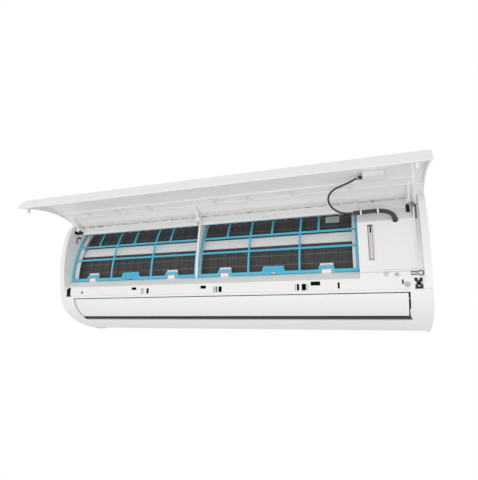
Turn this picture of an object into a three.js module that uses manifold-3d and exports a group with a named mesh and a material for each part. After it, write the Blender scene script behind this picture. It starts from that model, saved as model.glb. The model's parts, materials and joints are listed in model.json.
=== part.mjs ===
// A wall-hung mini split indoor unit with its front panel propped open.
// Millimetres. X runs across the unit, -Y points out of the wall into the room, Z is up.
// The origin is on the wall, at the back of the mounting plate, at mid width and mid height.
// Side views are drawn as (depth, height): depth out from the wall, height above the underside.

import * as THREE from 'three';
import { mergeVertices, toCreasedNormals } from 'three/addons/utils/BufferGeometryUtils.js';
import Module from 'manifold-3d';

const wasm = await Module();
wasm.setup();

// ---------------------------------------------------------------- driving dimensions
const BODY_WIDTH = 845;
const BODY_HEIGHT = 289;
const LOWER_DEPTH = 184;          // wall to the lower lip's front
const WALL = 2.6;                 // casing wall
const GAP = 0.3;                  // between pieces that touch
const REAR_LINE = 1;              // the casing's rear edge, out from the wall

const LIP_TOP = 82.6;             // height of the seam the closed panel stands on
const LIP_BOTTOM = 77;            // top of the air outlet
const STRIP_TOP = 104;            // height where the strip starts to slope back
const OUTLET_REAR_DEPTH = 140;    // rear edge of the air outlet, out from the wall
const OUTLET_SIDE = 39;           // from the body's side to the outlet

const HALF_WIDTH = BODY_WIDTH / 2;
const LEFT_BORDER = 12.5;         // raised side borders, each from the body's side to its inner face
const RIGHT_BORDER = 13;
const LEFT_BORDER_INNER = -HALF_WIDTH + LEFT_BORDER;
const RIGHT_BORDER_INNER = HALF_WIDTH - RIGHT_BORDER;
const OUTLET_HALF = HALF_WIDTH - OUTLET_SIDE;
const GROOVE_WIDTH = 7.5;         // the folded stay's groove
const SERVICE_WIDTH = 105.5;      // service area beside the filters
const SERVICE_RIGHT = RIGHT_BORDER_INNER - GROOVE_WIDTH;
const SERVICE_LEFT = SERVICE_RIGHT - SERVICE_WIDTH;
const SERVICE_DEPTH = 179;

const HINGE_DEPTH = 162;          // panel hinge axis
const HINGE_HEIGHT = 256;
const HINGE_PIN_RADIUS = 2.5;
const HINGE_EYE_RADIUS = 6.3;
const ARM_THICKNESS = 6;
const LEFT_ARM_X = LEFT_BORDER_INNER + 8;
const RIGHT_ARM_X = SERVICE_RIGHT - 7;
const PANEL_OPEN_DEG = 87;
const PANEL_WALL = 2.6;
const PANEL_OVERHANG = 0.5;       // the panel is this much wider than the body, each side
const PANEL_SEAT = 0.8;           // clearance from the closed panel to the body

const FILTER_ARC_RADIUS = 230;    // the filters bend back along this arc
const FILTER_BOTTOM = 120.3;
const FILTER_DEPTH = 164;         // the filter's mid surface at its bottom edge
const FILTER_THICKNESS = 2.4;
const FILTER_GAP = 8;             // between the two filters
const FILTER_LEFT_CLEARANCE = 2;
const FILTER_RIGHT_CLEARANCE = 2.5;
const FILTER_LEFT = LEFT_BORDER_INNER + FILTER_LEFT_CLEARANCE;
const FILTER_WIDTH = (SERVICE_LEFT - FILTER_RIGHT_CLEARANCE - FILTER_LEFT - FILTER_GAP) / 2;
const CENTRE_ARM_X = FILTER_LEFT + FILTER_WIDTH + FILTER_GAP / 2;
const FILTER_ARC_DEG = 35;
const RAIL = 4;                   // filter rails and ribs
const NET_THICKNESS = 0.6;

const FAN_DEPTH = 82;             // fan axis
const FAN_HEIGHT = 120;
const FAN_RADIUS = 46;
const FAN_SHAFT_RADIUS = 4;
const FAN_BLADES = 20;
const BLADE_THICKNESS = 1.3;

const DUCT_LEFT = LEFT_BORDER_INNER + 20;  // inner faces of the fan chamber's end walls
const DUCT_RIGHT = SERVICE_LEFT + 2.5;
const END_WALL = 2.5;
const FAN_LEFT = DUCT_LEFT + 12;
const FAN_RIGHT = DUCT_RIGHT - 11;

const COIL_LEFT = DUCT_LEFT - 6;
const COIL_RIGHT = DUCT_RIGHT - 9;
const COIL_THICKNESS = 19.6;

const LOUVER_SIDE_GAP = 3.5;
const LOUVER_HALF = OUTLET_HALF - LOUVER_SIDE_GAP;
const LOUVER_REAR_DEPTH = 147;    // where the closed blade's lower edge lies
const LOUVER_THICKNESS = 2.4;
const LOUVER_PIVOT_SETBACK = 11.5;  // behind the lower lip's front
const LOUVER_PIVOT_DROP = 11;     // below the top of the air outlet
const LOUVER_PIVOT_DEPTH = LOWER_DEPTH - LOUVER_PIVOT_SETBACK;
const LOUVER_PIVOT_HEIGHT = LIP_BOTTOM - LOUVER_PIVOT_DROP;
const LOUVER_PIN_RADIUS = 2;

const STAY_PIVOT_DEPTH = 173.5;   // panel stay
const STAY_PIVOT_HEIGHT = 248;
const STAY_X = SERVICE_RIGHT + 2.9;
const STAY_LENGTH = 127;
const STAY_HALF_HEIGHT = 3.6;
const STAY_THICKNESS = 3.6;
const STAY_PIN_RADIUS = 2;
const STAY_OPEN_DEG = 17.6;       // above the horizontal, panel open
const STAY_FOLDED_DEG = -85.4;    // panel closed
const STAY_LEAN_DEG = 4.25;       // the pin is turned this much in plan, so the open stay leans left

const COVER_WIDTH = 70;           // service cover
const COVER_RIGHT = SERVICE_RIGHT - 4;
const COVER_LEFT = COVER_RIGHT - COVER_WIDTH;
const COVER_BOTTOM = 120;
const COVER_TOP = 209;

const MOTOR_RADIUS = 38;
const MOTOR_LENGTH = 55;
const MOTOR_LEFT = DUCT_RIGHT + 8;
const MOTOR_RIGHT = MOTOR_LEFT + MOTOR_LENGTH;

// ---------------------------------------------------------------- helpers
const rad = THREE.MathUtils.degToRad;
const MID_HEIGHT = BODY_HEIGHT / 2;

// Puts a shape drawn as (depth, height), extruded along its own Z, upright across the unit.
function acrossMatrix(xTo) {
  const matrix = new THREE.Matrix4().makeBasis(
    new THREE.Vector3(0, -1, 0),
    new THREE.Vector3(0, 0, 1),
    new THREE.Vector3(-1, 0, 0),
  );
  return matrix.setPosition(xTo, 0, -MID_HEIGHT);
}

function outline(points) {
  return new THREE.Shape(points.map(([depth, height]) => new THREE.Vector2(depth, height)));
}

function prism(shape, xFrom, xTo, curveSegments = 8) {
  const settings = { depth: xTo - xFrom, bevelEnabled: false, curveSegments };
  return solid(new THREE.ExtrudeGeometry(shape, settings).applyMatrix4(acrossMatrix(xTo)));
}

function slab(points, xFrom, xTo) {
  return prism(outline(points), xFrom, xTo);
}

function block(xFrom, xTo, depthFrom, depthTo, heightFrom, heightTo) {
  const box = new THREE.BoxGeometry(xTo - xFrom, depthTo - depthFrom, heightTo - heightFrom);
  box.translate(
    (xFrom + xTo) / 2,
    -(depthFrom + depthTo) / 2,
    (heightFrom + heightTo) / 2 - MID_HEIGHT,
  );
  return solid(box);
}

// A round bar along X.
function axle(xFrom, xTo, depth, height, radius, segments = 16) {
  const rod = new THREE.CylinderGeometry(radius, radius, xTo - xFrom, segments);
  rod.rotateZ(Math.PI / 2);
  rod.translate((xFrom + xTo) / 2, -depth, height - MID_HEIGHT);
  return solid(rod);
}

// A round bar along Y, out of the wall.
function stud(x, height, radius, depthFrom, depthTo, segments = 16) {
  const rod = new THREE.CylinderGeometry(radius, radius, depthTo - depthFrom, segments);
  rod.translate(x, -(depthFrom + depthTo) / 2, height - MID_HEIGHT);
  return solid(rod);
}

function solid(geometry) {
  const bare = geometry.clone();
  for (const name of Object.keys(bare.attributes)) {
    if (name !== 'position') bare.deleteAttribute(name);
  }
  const merged = mergeVertices(bare, 1e-4);
  return new wasm.Manifold(new wasm.Mesh({
    numProp: 3,
    vertProperties: Float32Array.from(merged.attributes.position.array),
    triVerts: Uint32Array.from(merged.index.array),
  }));
}

function join(...pieces) {
  return pieces.flat().reduce((sum, piece) => sum.add(piece));
}

function cut(piece, ...tools) {
  return tools.flat().reduce((rest, tool) => rest.subtract(tool), piece);
}

function facets(piece) {
  const mesh = piece.getMesh();
  const geometry = new THREE.BufferGeometry();
  geometry.setAttribute('position', new THREE.BufferAttribute(mesh.vertProperties, 3));
  geometry.setIndex(new THREE.BufferAttribute(mesh.triVerts, 1));
  return toCreasedNormals(geometry.toNonIndexed(), rad(35));
}

// Points along a cubic curve from (depth, height) pairs.
function curvePoints(a, b, c, d, count) {
  const curve = new THREE.CubicBezierCurve(...[a, b, c, d].map(([u, v]) => new THREE.Vector2(u, v)));
  return curve.getPoints(count).map((point) => [point.x, point.y]);
}

// The same line moved to its left by a distance, with mitred corners.
function offsetLine(points, distance) {
  return points.map((point, i) => {
    const before = points[Math.max(i - 1, 0)];
    const after = points[Math.min(i + 1, points.length - 1)];
    const first = unit(point[0] - before[0], point[1] - before[1]);
    const second = unit(after[0] - point[0], after[1] - point[1]);
    const start = i === 0 ? second : first;
    const end = i === points.length - 1 ? first : second;
    const normal = unit(-start[1] - end[1], start[0] + end[0]);
    const stretch = 1 / (normal[0] * -start[1] + normal[1] * start[0]);
    return [point[0] + normal[0] * distance * stretch, point[1] + normal[1] * distance * stretch];
  });
}

function unit(u, v) {
  const length = Math.hypot(u, v) || 1;
  return [u / length, v / length];
}

// A sheet of even thickness along a line, to the line's left.
function sheet(points, thickness, xFrom, xTo) {
  return slab([...points, ...offsetLine(points, thickness).reverse()], xFrom, xTo);
}

function arc(centre, radius, fromDeg, toDeg, count) {
  return Array.from({ length: count + 1 }, (_, i) => {
    const angle = rad(fromDeg + (toDeg - fromDeg) * i / count);
    return [centre[0] + radius * Math.cos(angle), centre[1] + radius * Math.sin(angle)];
  });
}

const unitGroup = new THREE.Group();

function addPart(name, piece, material, group = unitGroup) {
  const mesh = new THREE.Mesh(piece.isBufferGeometry ? piece : facets(piece), material);
  mesh.name = name;
  group.add(mesh);
  return mesh;
}

// ---------------------------------------------------------------- materials
function finish(color, roughness, metalness = 0) {
  return new THREE.MeshStandardMaterial({ color, roughness, metalness });
}

const whitePlastic = () => finish('#f0f1f0', 0.4);
const greyPlastic = () => finish('#8d8f91', 0.55);
const darkPlastic = () => finish('#26272a', 0.6);
const filterBlue = () => finish('#6ecbe6', 0.45);
const netGrey = () => finish('#9fb2b8', 0.8);
const finAluminium = () => finish('#6b6e70', 0.5, 0.8);
const steel = () => finish('#b9bcbf', 0.4, 0.9);
const copper = () => finish('#b87350', 0.35, 1);
const rubber = () => finish('#2c2c2e', 0.9);

// ---------------------------------------------------------------- side profile
const OUTLET_CURVE = [[LOWER_DEPTH, LIP_BOTTOM], [176, 46], [132, 14], [50, 3]];
const BORDER_CURVE = [[LOWER_DEPTH, LIP_TOP + 1.2], [198, 135], [199, 205], [180, 248]];
const CORNER_CURVE = [[180, 248], [172, 262], [150, 281], [100, BODY_HEIGHT]];
const underLine = curvePoints(...OUTLET_CURVE, 14);
const borderLine = curvePoints(...BORDER_CURVE, 10);
const cornerLine = curvePoints(...CORNER_CURVE, 8).slice(1);
const seamNotch = [[LOWER_DEPTH, LIP_TOP - 1.2], [LOWER_DEPTH - 1.2, LIP_TOP]];

// Underside from the rear, round the front to the top's rear edge: counter-clockwise.
const profileLine = [
  [REAR_LINE, 0],
  [30, 0],
  ...[...underLine].reverse(),
  ...seamNotch,
  ...borderLine,
  ...cornerLine,
  [REAR_LINE, BODY_HEIGHT],
];

// Depth of the body's side profile at a height between the seam and the top.
function profileDepth(height) {
  const line = [...borderLine, ...cornerLine];
  const next = line.findIndex((point) => point[1] >= height);
  const [d0, h0] = line[Math.max(next - 1, 0)];
  const [d1, h1] = line[Math.max(next, 1)];
  return d0 + (d1 - d0) * (height - h0) / (h1 - h0);
}

// Height of the lower curve at a depth.
function underHeight(depth) {
  const next = underLine.findIndex((point) => point[0] <= depth);
  const [d0, h0] = underLine[next - 1];
  const [d1, h1] = underLine[next];
  return h0 + (h1 - h0) * (depth - d0) / (d1 - d0);
}

// ---------------------------------------------------------------- filter arc
const ARC_CENTRE = [FILTER_DEPTH - FILTER_ARC_RADIUS, FILTER_BOTTOM];
const NET_RADIUS = FILTER_ARC_RADIUS - FILTER_THICKNESS / 2 - GAP;

// A curved sheet on the filters' arc, between two radii and two angles.
function arcSheet(innerRadius, outerRadius, fromDeg, toDeg, xFrom, xTo, steps = 10) {
  const outer = arc(ARC_CENTRE, outerRadius, fromDeg, toDeg, steps);
  const inner = arc(ARC_CENTRE, innerRadius, fromDeg, toDeg, steps);
  return slab([...outer, ...inner.reverse()], xFrom, xTo);
}

function arcDegAt(height) {
  return THREE.MathUtils.radToDeg(Math.asin((height - FILTER_BOTTOM) / FILTER_ARC_RADIUS));
}

// ---------------------------------------------------------------- front casing
const HINGE = [HINGE_DEPTH, HINGE_HEIGHT];
const BAR_BOTTOM = 243;
const BAR_TOP = 250;
const BAR_FRONT = 155;
const BAR_REAR = 149;
const RIM_BOTTOM = 262;
const GRILLE_FRONT = 128;
const GRILLE_REAR = 14;
const GRILLE_HALF = HALF_WIDTH - 18.5;
const WINDOW_REAR = 148;
const POST_HALF = 2.5;
const POST_X = CENTRE_ARM_X;
const LEDGE_TOP = FILTER_BOTTOM - GAP;
const RIB_OUTER = NET_RADIUS - NET_THICKNESS - GAP;
const RIB_INNER = RIB_OUTER - 2;

function casingSkin() {
  const inner = offsetLine(profileLine, WALL);
  const skinShape = [
    ...profileLine.slice(2),
    [REAR_LINE, BODY_HEIGHT - WALL],
    ...inner.slice(2, -1).reverse(),
  ];
  const skin = slab(skinShape, -HALF_WIDTH, HALF_WIDTH);
  const ends = [-1, 1].map((side) => slab(
    profileLine,
    side < 0 ? -HALF_WIDTH : HALF_WIDTH - WALL,
    side < 0 ? -HALF_WIDTH + WALL : HALF_WIDTH,
  ));
  const frontWindow = slab([
    [LOWER_DEPTH - 1.5, LIP_TOP + 2.4],
    [220, LIP_TOP + 2.4],
    [220, RIM_BOTTOM],
    [150, RIM_BOTTOM],
    [150, LIP_TOP + 2.4],
  ], LEFT_BORDER_INNER, RIGHT_BORDER_INNER);
  const topWindow = block(
    -GRILLE_HALF, GRILLE_HALF, GRILLE_REAR, GRILLE_FRONT, BODY_HEIGHT - 12, BODY_HEIGHT + 5,
  );
  return cut(join(skin, ends), frontWindow, topWindow, outletOpening());
}

// The air outlet follows the lower curve, between the lip and the rear edge.
function outletOpening() {
  return slab([
    [LOWER_DEPTH + 10, LIP_BOTTOM],
    [150, LIP_BOTTOM],
    [OUTLET_REAR_DEPTH, 45],
    [OUTLET_REAR_DEPTH, 10],
    [LOWER_DEPTH + 10, 10],
  ], -OUTLET_HALF, OUTLET_HALF);
}

function lowerStrip() {
  const face = [
    [LOWER_DEPTH, LIP_TOP + 1.2],
    [LOWER_DEPTH, STRIP_TOP],
    [LOWER_DEPTH - 11, 112.8],
    [FILTER_DEPTH + 0.6, LEDGE_TOP - 1.6],
    [FILTER_DEPTH - 1.8, LEDGE_TOP],
    [FILTER_DEPTH - 5.5, LEDGE_TOP],
  ];
  const strip = sheet(face, WALL, LEFT_BORDER_INNER - WALL, SERVICE_LEFT + WALL);
  const serviceStrip = sheet([
    [LOWER_DEPTH, LIP_TOP + 1.2],
    [LOWER_DEPTH, STRIP_TOP + 10],
    [SERVICE_DEPTH, STRIP_TOP + 12],
    [SERVICE_DEPTH, 215],
    [BAR_FRONT, BAR_BOTTOM],
  ], WALL, SERVICE_LEFT, SERVICE_RIGHT);
  const clipStrip = sheet([
    [LOWER_DEPTH, LIP_TOP + 1.2],
    [LOWER_DEPTH, STRIP_TOP + 10],
    grooveFloorAt(STAY_LENGTH + 3.5),
    grooveFloorAt(8),
    [STAY_PIVOT_DEPTH - 6, STAY_PIVOT_HEIGHT + 8],
    [STAY_PIVOT_DEPTH - 10.5, STAY_PIVOT_HEIGHT + 18],
  ], WALL, SERVICE_RIGHT - 0.5, RIGHT_BORDER_INNER + WALL);
  const lip = block(
    -HALF_WIDTH + 1, HALF_WIDTH - 1, LOWER_DEPTH - 5, LOWER_DEPTH - 1.4, LIP_BOTTOM + 1, LIP_TOP + 3,
  );
  return join(strip, serviceStrip, clipStrip, lip);
}

// The groove's floor lies behind the folded stay, at a distance along it from its pivot.
function grooveFloorAt(along) {
  const turn = rad(STAY_FOLDED_DEG);
  const reach = STAY_HALF_HEIGHT + 3 * GAP;
  return [
    STAY_PIVOT_DEPTH + along * Math.cos(turn) + reach * Math.sin(turn),
    STAY_PIVOT_HEIGHT + along * Math.sin(turn) - reach * Math.cos(turn),
  ];
}

// Walls that stand behind the raised borders and beside the filter windows.
function windowWalls() {
  const left = cut(
    slab([
      [WINDOW_REAR, 90],
      [LOWER_DEPTH - 1, 90],
      ...borderLine.slice(1).map(([d, h]) => [d - 1, h]),
      [168, 262],
      [152, 270],
      [118, 270],
      [RIB_INNER + ARC_CENTRE[0] - 42, 256],
      [WINDOW_REAR - 12, 200],
    ], LEFT_BORDER_INNER - WALL, LEFT_BORDER_INNER),
    axle(LEFT_BORDER_INNER - 5, LEFT_BORDER_INNER + 5, ...HINGE, HINGE_PIN_RADIUS + GAP),
  );
  const rightOuter = slab([
    [BAR_REAR, 90],
    [LOWER_DEPTH - 1, 90],
    ...borderLine.slice(1).map(([d, h]) => [d - 1, h]),
    [168, 262],
    [BAR_REAR, 266],
  ], RIGHT_BORDER_INNER, RIGHT_BORDER_INNER + WALL);
  const rightInner = slab([
    [BAR_REAR, 100],
    [LOWER_DEPTH - 1, 100],
    [LOWER_DEPTH - 1, STRIP_TOP + 9],
    [SERVICE_DEPTH - 0.5, STRIP_TOP + 12],
    [SERVICE_DEPTH - 0.5, 236],
    [172, 262],
    [BAR_REAR, 268],
  ], SERVICE_RIGHT - WALL, SERVICE_RIGHT);
  const service = slab([
    [WINDOW_REAR, 100],
    [LOWER_DEPTH - 2, 100],
    [SERVICE_DEPTH - 0.5, STRIP_TOP + 12],
    [SERVICE_DEPTH - 0.5, 214],
    [BAR_FRONT, BAR_TOP],
    [150, 268],
    [118, 268],
    [RIB_INNER + ARC_CENTRE[0] - 42, 256],
    [WINDOW_REAR - 12, 200],
  ], SERVICE_LEFT, SERVICE_LEFT + WALL);
  const stayEar = axle(
    SERVICE_RIGHT - WALL, SERVICE_RIGHT, STAY_PIVOT_DEPTH, STAY_PIVOT_HEIGHT, STAY_PIN_RADIUS + WALL, 20,
  );
  return join(left, rightOuter, rightInner, service, stayEar);
}

function centrePost() {
  return slab([
    [FILTER_DEPTH - 7.8, LEDGE_TOP - 1],
    [FILTER_DEPTH + 5, LEDGE_TOP - 1],
    [FILTER_DEPTH + 4.5, 160],
    [BAR_FRONT, BAR_TOP - 1],
    [BAR_FRONT, BAR_TOP + 4],
    [148, 262],
    [148, 276],
    [118, 276],
    [113, 256],
    [FILTER_DEPTH - 21.6, 197.8],
    [FILTER_DEPTH - 15.4, 184],
  ], POST_X - POST_HALF, POST_X + POST_HALF);
}

// Narrow ribs behind the filters' upright edges carry the nets and frames.
function guideRibs() {
  const spans = [
    [LEFT_BORDER_INNER - 1, LEFT_BORDER_INNER + 17],
    [POST_X - 8, POST_X + 8],
    [SERVICE_LEFT - 13, SERVICE_LEFT + 1],
  ];
  return spans.map(([from, to]) => arcSheet(RIB_INNER, RIB_OUTER, 1, FILTER_ARC_DEG - 1, from, to, 6));
}

function topBar() {
  const bar = block(LEFT_BORDER_INNER - 1, SERVICE_RIGHT - 1, BAR_REAR, BAR_FRONT, BAR_BOTTOM, BAR_TOP);
  const dips = [POST_X - FILTER_WIDTH / 2, POST_X + FILTER_WIDTH / 2].map(
    (x) => block(x - 24, x + 24, BAR_REAR - 1, BAR_FRONT + 1, BAR_TOP - 2, BAR_TOP + 1),
  );
  return cut(bar, dips);
}

// A web behind the slot over the bar closes it but for a row of thin openings.
function intakeWeb() {
  const left = LEFT_BORDER_INNER - 1;
  const right = SERVICE_RIGHT - 1;
  const web = block(left, right, BAR_REAR, BAR_REAR + WALL, BAR_TOP - 1, RIM_BOTTOM + 6);
  const count = 30;
  const pitch = (right - left) / count;
  const openings = Array.from({ length: count }, (_, i) => block(
    left + (i + 0.12) * pitch, left + (i + 0.88) * pitch, BAR_REAR - 1, BAR_REAR + WALL + 1,
    RIM_BOTTOM - 0.5, RIM_BOTTOM + 1.9,
  ));
  return cut(web, ...openings);
}

// Two cheeks hold each hinge pin, joined to the bar.
function hingeBrackets() {
  const cheek = (x) => cut(
    slab([
      [BAR_REAR, BAR_BOTTOM],
      [HINGE_DEPTH + 4, BAR_BOTTOM + 3],
      [HINGE_DEPTH + 5, HINGE_HEIGHT + 3],
      [HINGE_DEPTH, HINGE_HEIGHT + 6],
      [BAR_REAR, HINGE_HEIGHT + 5],
    ], x, x + 2.5),
    axle(x - 5, x + 5, ...HINGE, HINGE_PIN_RADIUS + GAP),
  );
  return [
    cheek(LEFT_ARM_X + ARM_THICKNESS / 2 + GAP),
    cheek(CENTRE_ARM_X - ARM_THICKNESS / 2 - GAP - 2.5),
    cheek(CENTRE_ARM_X + ARM_THICKNESS / 2 + GAP),
    cheek(RIGHT_ARM_X - ARM_THICKNESS / 2 - GAP - 2.5),
  ];
}

// Room for the panel's arms to swing through the rim, the bar and the post.
function armNotches() {
  return [LEFT_ARM_X, CENTRE_ARM_X, RIGHT_ARM_X].map((x) => slab([
    [BAR_FRONT + 0.2, BAR_BOTTOM - 2],
    [200, BAR_BOTTOM - 2],
    [200, 285],
    [BAR_FRONT - 6, 285],
    [BAR_FRONT - 6, HINGE_HEIGHT + 2],
    [BAR_FRONT + 0.2, HINGE_HEIGHT - 5],
  ], x - ARM_THICKNESS / 2 - GAP, x + ARM_THICKNESS / 2 + GAP));
}

// Each filter's arches stand round a tongue of the ledge, with a boss behind the net.
function tongues() {
  const centres = [FILTER_LEFT + FILTER_WIDTH / 2, FILTER_LEFT + FILTER_WIDTH * 1.5 + FILTER_GAP];
  return centres.flatMap((centre) => [-ARCH_STEP, ARCH_STEP].flatMap((step) => [
    block(
      centre + step - ARCH_HALF_TOP + 1, centre + step + ARCH_HALF_TOP - 1,
      FILTER_DEPTH - 1, FILTER_DEPTH + 1.2,
      LEDGE_TOP - 1, ARCH_TOP - 2,
    ),
    trapezoid(centre + step, ARCH_HALF_BOTTOM + 2, ARCH_HALF_TOP + 3, LEDGE_TOP - 2, ARCH_TOP + 11,
      RIB_INNER - 3, RIB_OUTER - 1),
  ]));
}

// Small openings moulded in the lower strip, from left to right: centre x, height, width, tall.
const STRIP_SLOTS = [
  [-210, 97, 13, 6], [-187, 91, 8, 12], [-173.4, 91, 6.5, 12], [-33, 96, 14, 6.5],
  [-4.7, 90.5, 10, 12], [6.9, 90.5, 8, 12], [176, 90.5, 5, 13], [188, 90.5, 9, 13], [211, 97, 19, 8],
  [256, 92, 4, 12],
];

function stripSlots() {
  const ends = [[-OUTLET_HALF + 24.5, 91, 5, 6], [BUTTON_X - 7.5, 95.6, 3, 9]];
  return [...STRIP_SLOTS, ...ends].map(([x, height, width, tall]) => block(
    x - width / 2, x + width / 2, LOWER_DEPTH - 6, LOWER_DEPTH + 4, height - tall / 2, height + tall / 2,
  ));
}

const SOCKET_X = HALF_WIDTH - 22.5;
const SOCKET_HEIGHT = 94;
const SOCKET_HALF_WIDTH = 5.5;
const SOCKET_HALF_HEIGHT = 7;
const BUTTON_X = SOCKET_X - 20.6;
const BUTTON_HEIGHT = 90.8;
const BUTTON_RADIUS = 5;
const RECESS_SCREW_X = SOCKET_X - 37.4;
const RECESS_SCREW_HEIGHT = 110;
const SERVICE_SLOT_X = SERVICE_LEFT + 24;
const CABLE_HOLE_X = SERVICE_RIGHT - 35;
const CABLE_HOLE_HEIGHT = 216;

function faceOpenings() {
  const sockets = [-SOCKET_X, SOCKET_X].map((x) => block(
    x - SOCKET_HALF_WIDTH - GAP, x + SOCKET_HALF_WIDTH + GAP, LOWER_DEPTH - 14.5, LOWER_DEPTH + 5,
    SOCKET_HEIGHT - SOCKET_HALF_HEIGHT - GAP, SOCKET_HEIGHT + SOCKET_HALF_HEIGHT + GAP,
  ));
  const button = stud(BUTTON_X, BUTTON_HEIGHT, BUTTON_RADIUS + GAP, LOWER_DEPTH - 8, LOWER_DEPTH + 5, 24);
  const service = block(COVER_LEFT + 6, COVER_RIGHT - 8, SERVICE_DEPTH - 8, SERVICE_DEPTH + 5,
    COVER_BOTTOM + 6, COVER_TOP - 6);
  const longSlot = block(SERVICE_SLOT_X - 5, SERVICE_SLOT_X + 5, SERVICE_DEPTH - 1.6, SERVICE_DEPTH + 5,
    138, 209);
  const slit = block(SERVICE_SLOT_X - 1.5, SERVICE_SLOT_X + 1.5, SERVICE_DEPTH - 8, SERVICE_DEPTH + 5,
    193, 208);
  const screw = stud(RECESS_SCREW_X, RECESS_SCREW_HEIGHT, 2.1, LOWER_DEPTH - 8, LOWER_DEPTH + 5);
  const screwRing = stud(RECESS_SCREW_X, RECESS_SCREW_HEIGHT, 5.6, LOWER_DEPTH - 1.2, LOWER_DEPTH + 5, 20);
  const cableHole = stud(CABLE_HOLE_X, CABLE_HOLE_HEIGHT, 6, 150, SERVICE_DEPTH + 5, 20);
  const clipHoles = [-CLIP_LEG_RISE, CLIP_LEG_RISE].map((rise) => stud(
    CLIP_X - CLIP_LEG, CLIP_HEIGHT + rise, CLIP_WIRE_RADIUS + 2 * GAP, LOWER_DEPTH - 8, 190, 10,
  ));
  const flange = stud(BUTTON_X, BUTTON_HEIGHT, BUTTON_RADIUS + 1.9, LOWER_DEPTH - 8, LOWER_DEPTH - WALL, 24);
  return [...sockets, button, service, longSlot, slit, screw, screwRing, cableHole, flange, ...clipHoles];
}

const CLIP_X = SERVICE_RIGHT + 1.9;  // centre of the wire clip's ring
const CLIP_HEIGHT = 111;
const CLIP_RING_RADIUS = 4.3;
const CLIP_LEG = 16;              // from the ring's centre to the clip's feet
const CLIP_LEG_RISE = 2.4;        // each leg from the clip's mid height
const CLIP_WIRE_RADIUS = 0.8;

// A round bar along the stay's pin, from one X to another.
function stayAxle(xFrom, xTo, radius) {
  const rod = new THREE.CylinderGeometry(radius, radius, xTo - xFrom, 12);
  rod.rotateZ(Math.PI / 2);
  rod.translate((xFrom + xTo) / 2 - STAY_X, 0, 0);
  rod.rotateZ(-rad(STAY_LEAN_DEG));
  rod.translate(STAY_X, -STAY_PIVOT_DEPTH, STAY_PIVOT_HEIGHT - MID_HEIGHT);
  return solid(rod);
}

function buildCasing() {
  const body = join(
    casingSkin(), lowerStrip(), windowWalls(), centrePost(), ...guideRibs(), topBar(),
    ...hingeBrackets(), intakeWeb(), ...tongues(),
  );
  const inside = slab(profileLine, -HALF_WIDTH, HALF_WIDTH);
  const trimmed = body.intersect(inside);
  const pivotHole = stayAxle(SERVICE_RIGHT - 5, RIGHT_BORDER_INNER + 5, STAY_PIN_RADIUS + GAP);
  const rightPinHole = axle(RIGHT_ARM_X, SERVICE_RIGHT + 1, ...HINGE, HINGE_PIN_RADIUS + GAP);
  return cut(trimmed, ...armNotches(), ...stripSlots(), ...faceOpenings(), pivotHole, rightPinHole);
}

// ---------------------------------------------------------------- top grille
function buildTopGrille() {
  const clearance = GAP;
  const plate = block(
    -GRILLE_HALF + clearance, GRILLE_HALF - clearance, GRILLE_REAR + clearance, GRILLE_FRONT - clearance,
    BODY_HEIGHT - 4, BODY_HEIGHT - 0.2,
  );
  const follow = slab(profileLine, -HALF_WIDTH, HALF_WIDTH);
  const rows = 7;
  const columns = 11;
  const frameWidth = 7;
  const bar = 4;
  const rowPitch = (GRILLE_FRONT - GRILLE_REAR - 2 * frameWidth + bar) / rows;
  const columnPitch = (2 * GRILLE_HALF - 2 * frameWidth + bar) / columns;
  const slots = [];
  for (let row = 0; row < rows; row += 1) {
    for (let column = 0; column < columns; column += 1) {
      const x = -GRILLE_HALF + frameWidth + column * columnPitch;
      const depth = GRILLE_REAR + frameWidth + row * rowPitch;
      slots.push(block(x, x + columnPitch - bar, depth, depth + rowPitch - bar, BODY_HEIGHT - 14,
        BODY_HEIGHT + 5));
    }
  }
  return cut(plate.intersect(follow), ...slots);
}

// ---------------------------------------------------------------- rear chassis
const BACK_FRONT = 5.5;
const BACK_REAR = 3;
const LOUVER_WALL_X = SERVICE_RIGHT;  // wall that carries the louver's motor
const PLATE_HALF = HALF_WIDTH - 70.5;
const HOOK_X = PLATE_HALF - 132;

function scrollWall() {
  const line = [
    ...curvePoints([36, 176], [18, 130], [26, 80], [60, 58], 8),
    ...curvePoints([60, 58], [84, 44], [110, 39], [136.5, 35.5], 4).slice(1),
  ];
  return sheet(line, -END_WALL, DUCT_LEFT - 1, DUCT_RIGHT + 1);
}

function chamberEnd(xFrom, xTo) {
  const plate = slab([
    [BACK_REAR + 1, 14],
    [50, 14],
    [100, 24],
    [120, 33],
    [137, 36.5],
    [150, 48],
    [159, 60],
    [158, 70],
    [158, 85.45],
    [150, 86.15],
    [129, 88.2],
    [127, 100],
    [130, 130],
    [120, 168],
    [BACK_REAR + 1, 172],
  ], xFrom, xTo);
  return plate;
}

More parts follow.
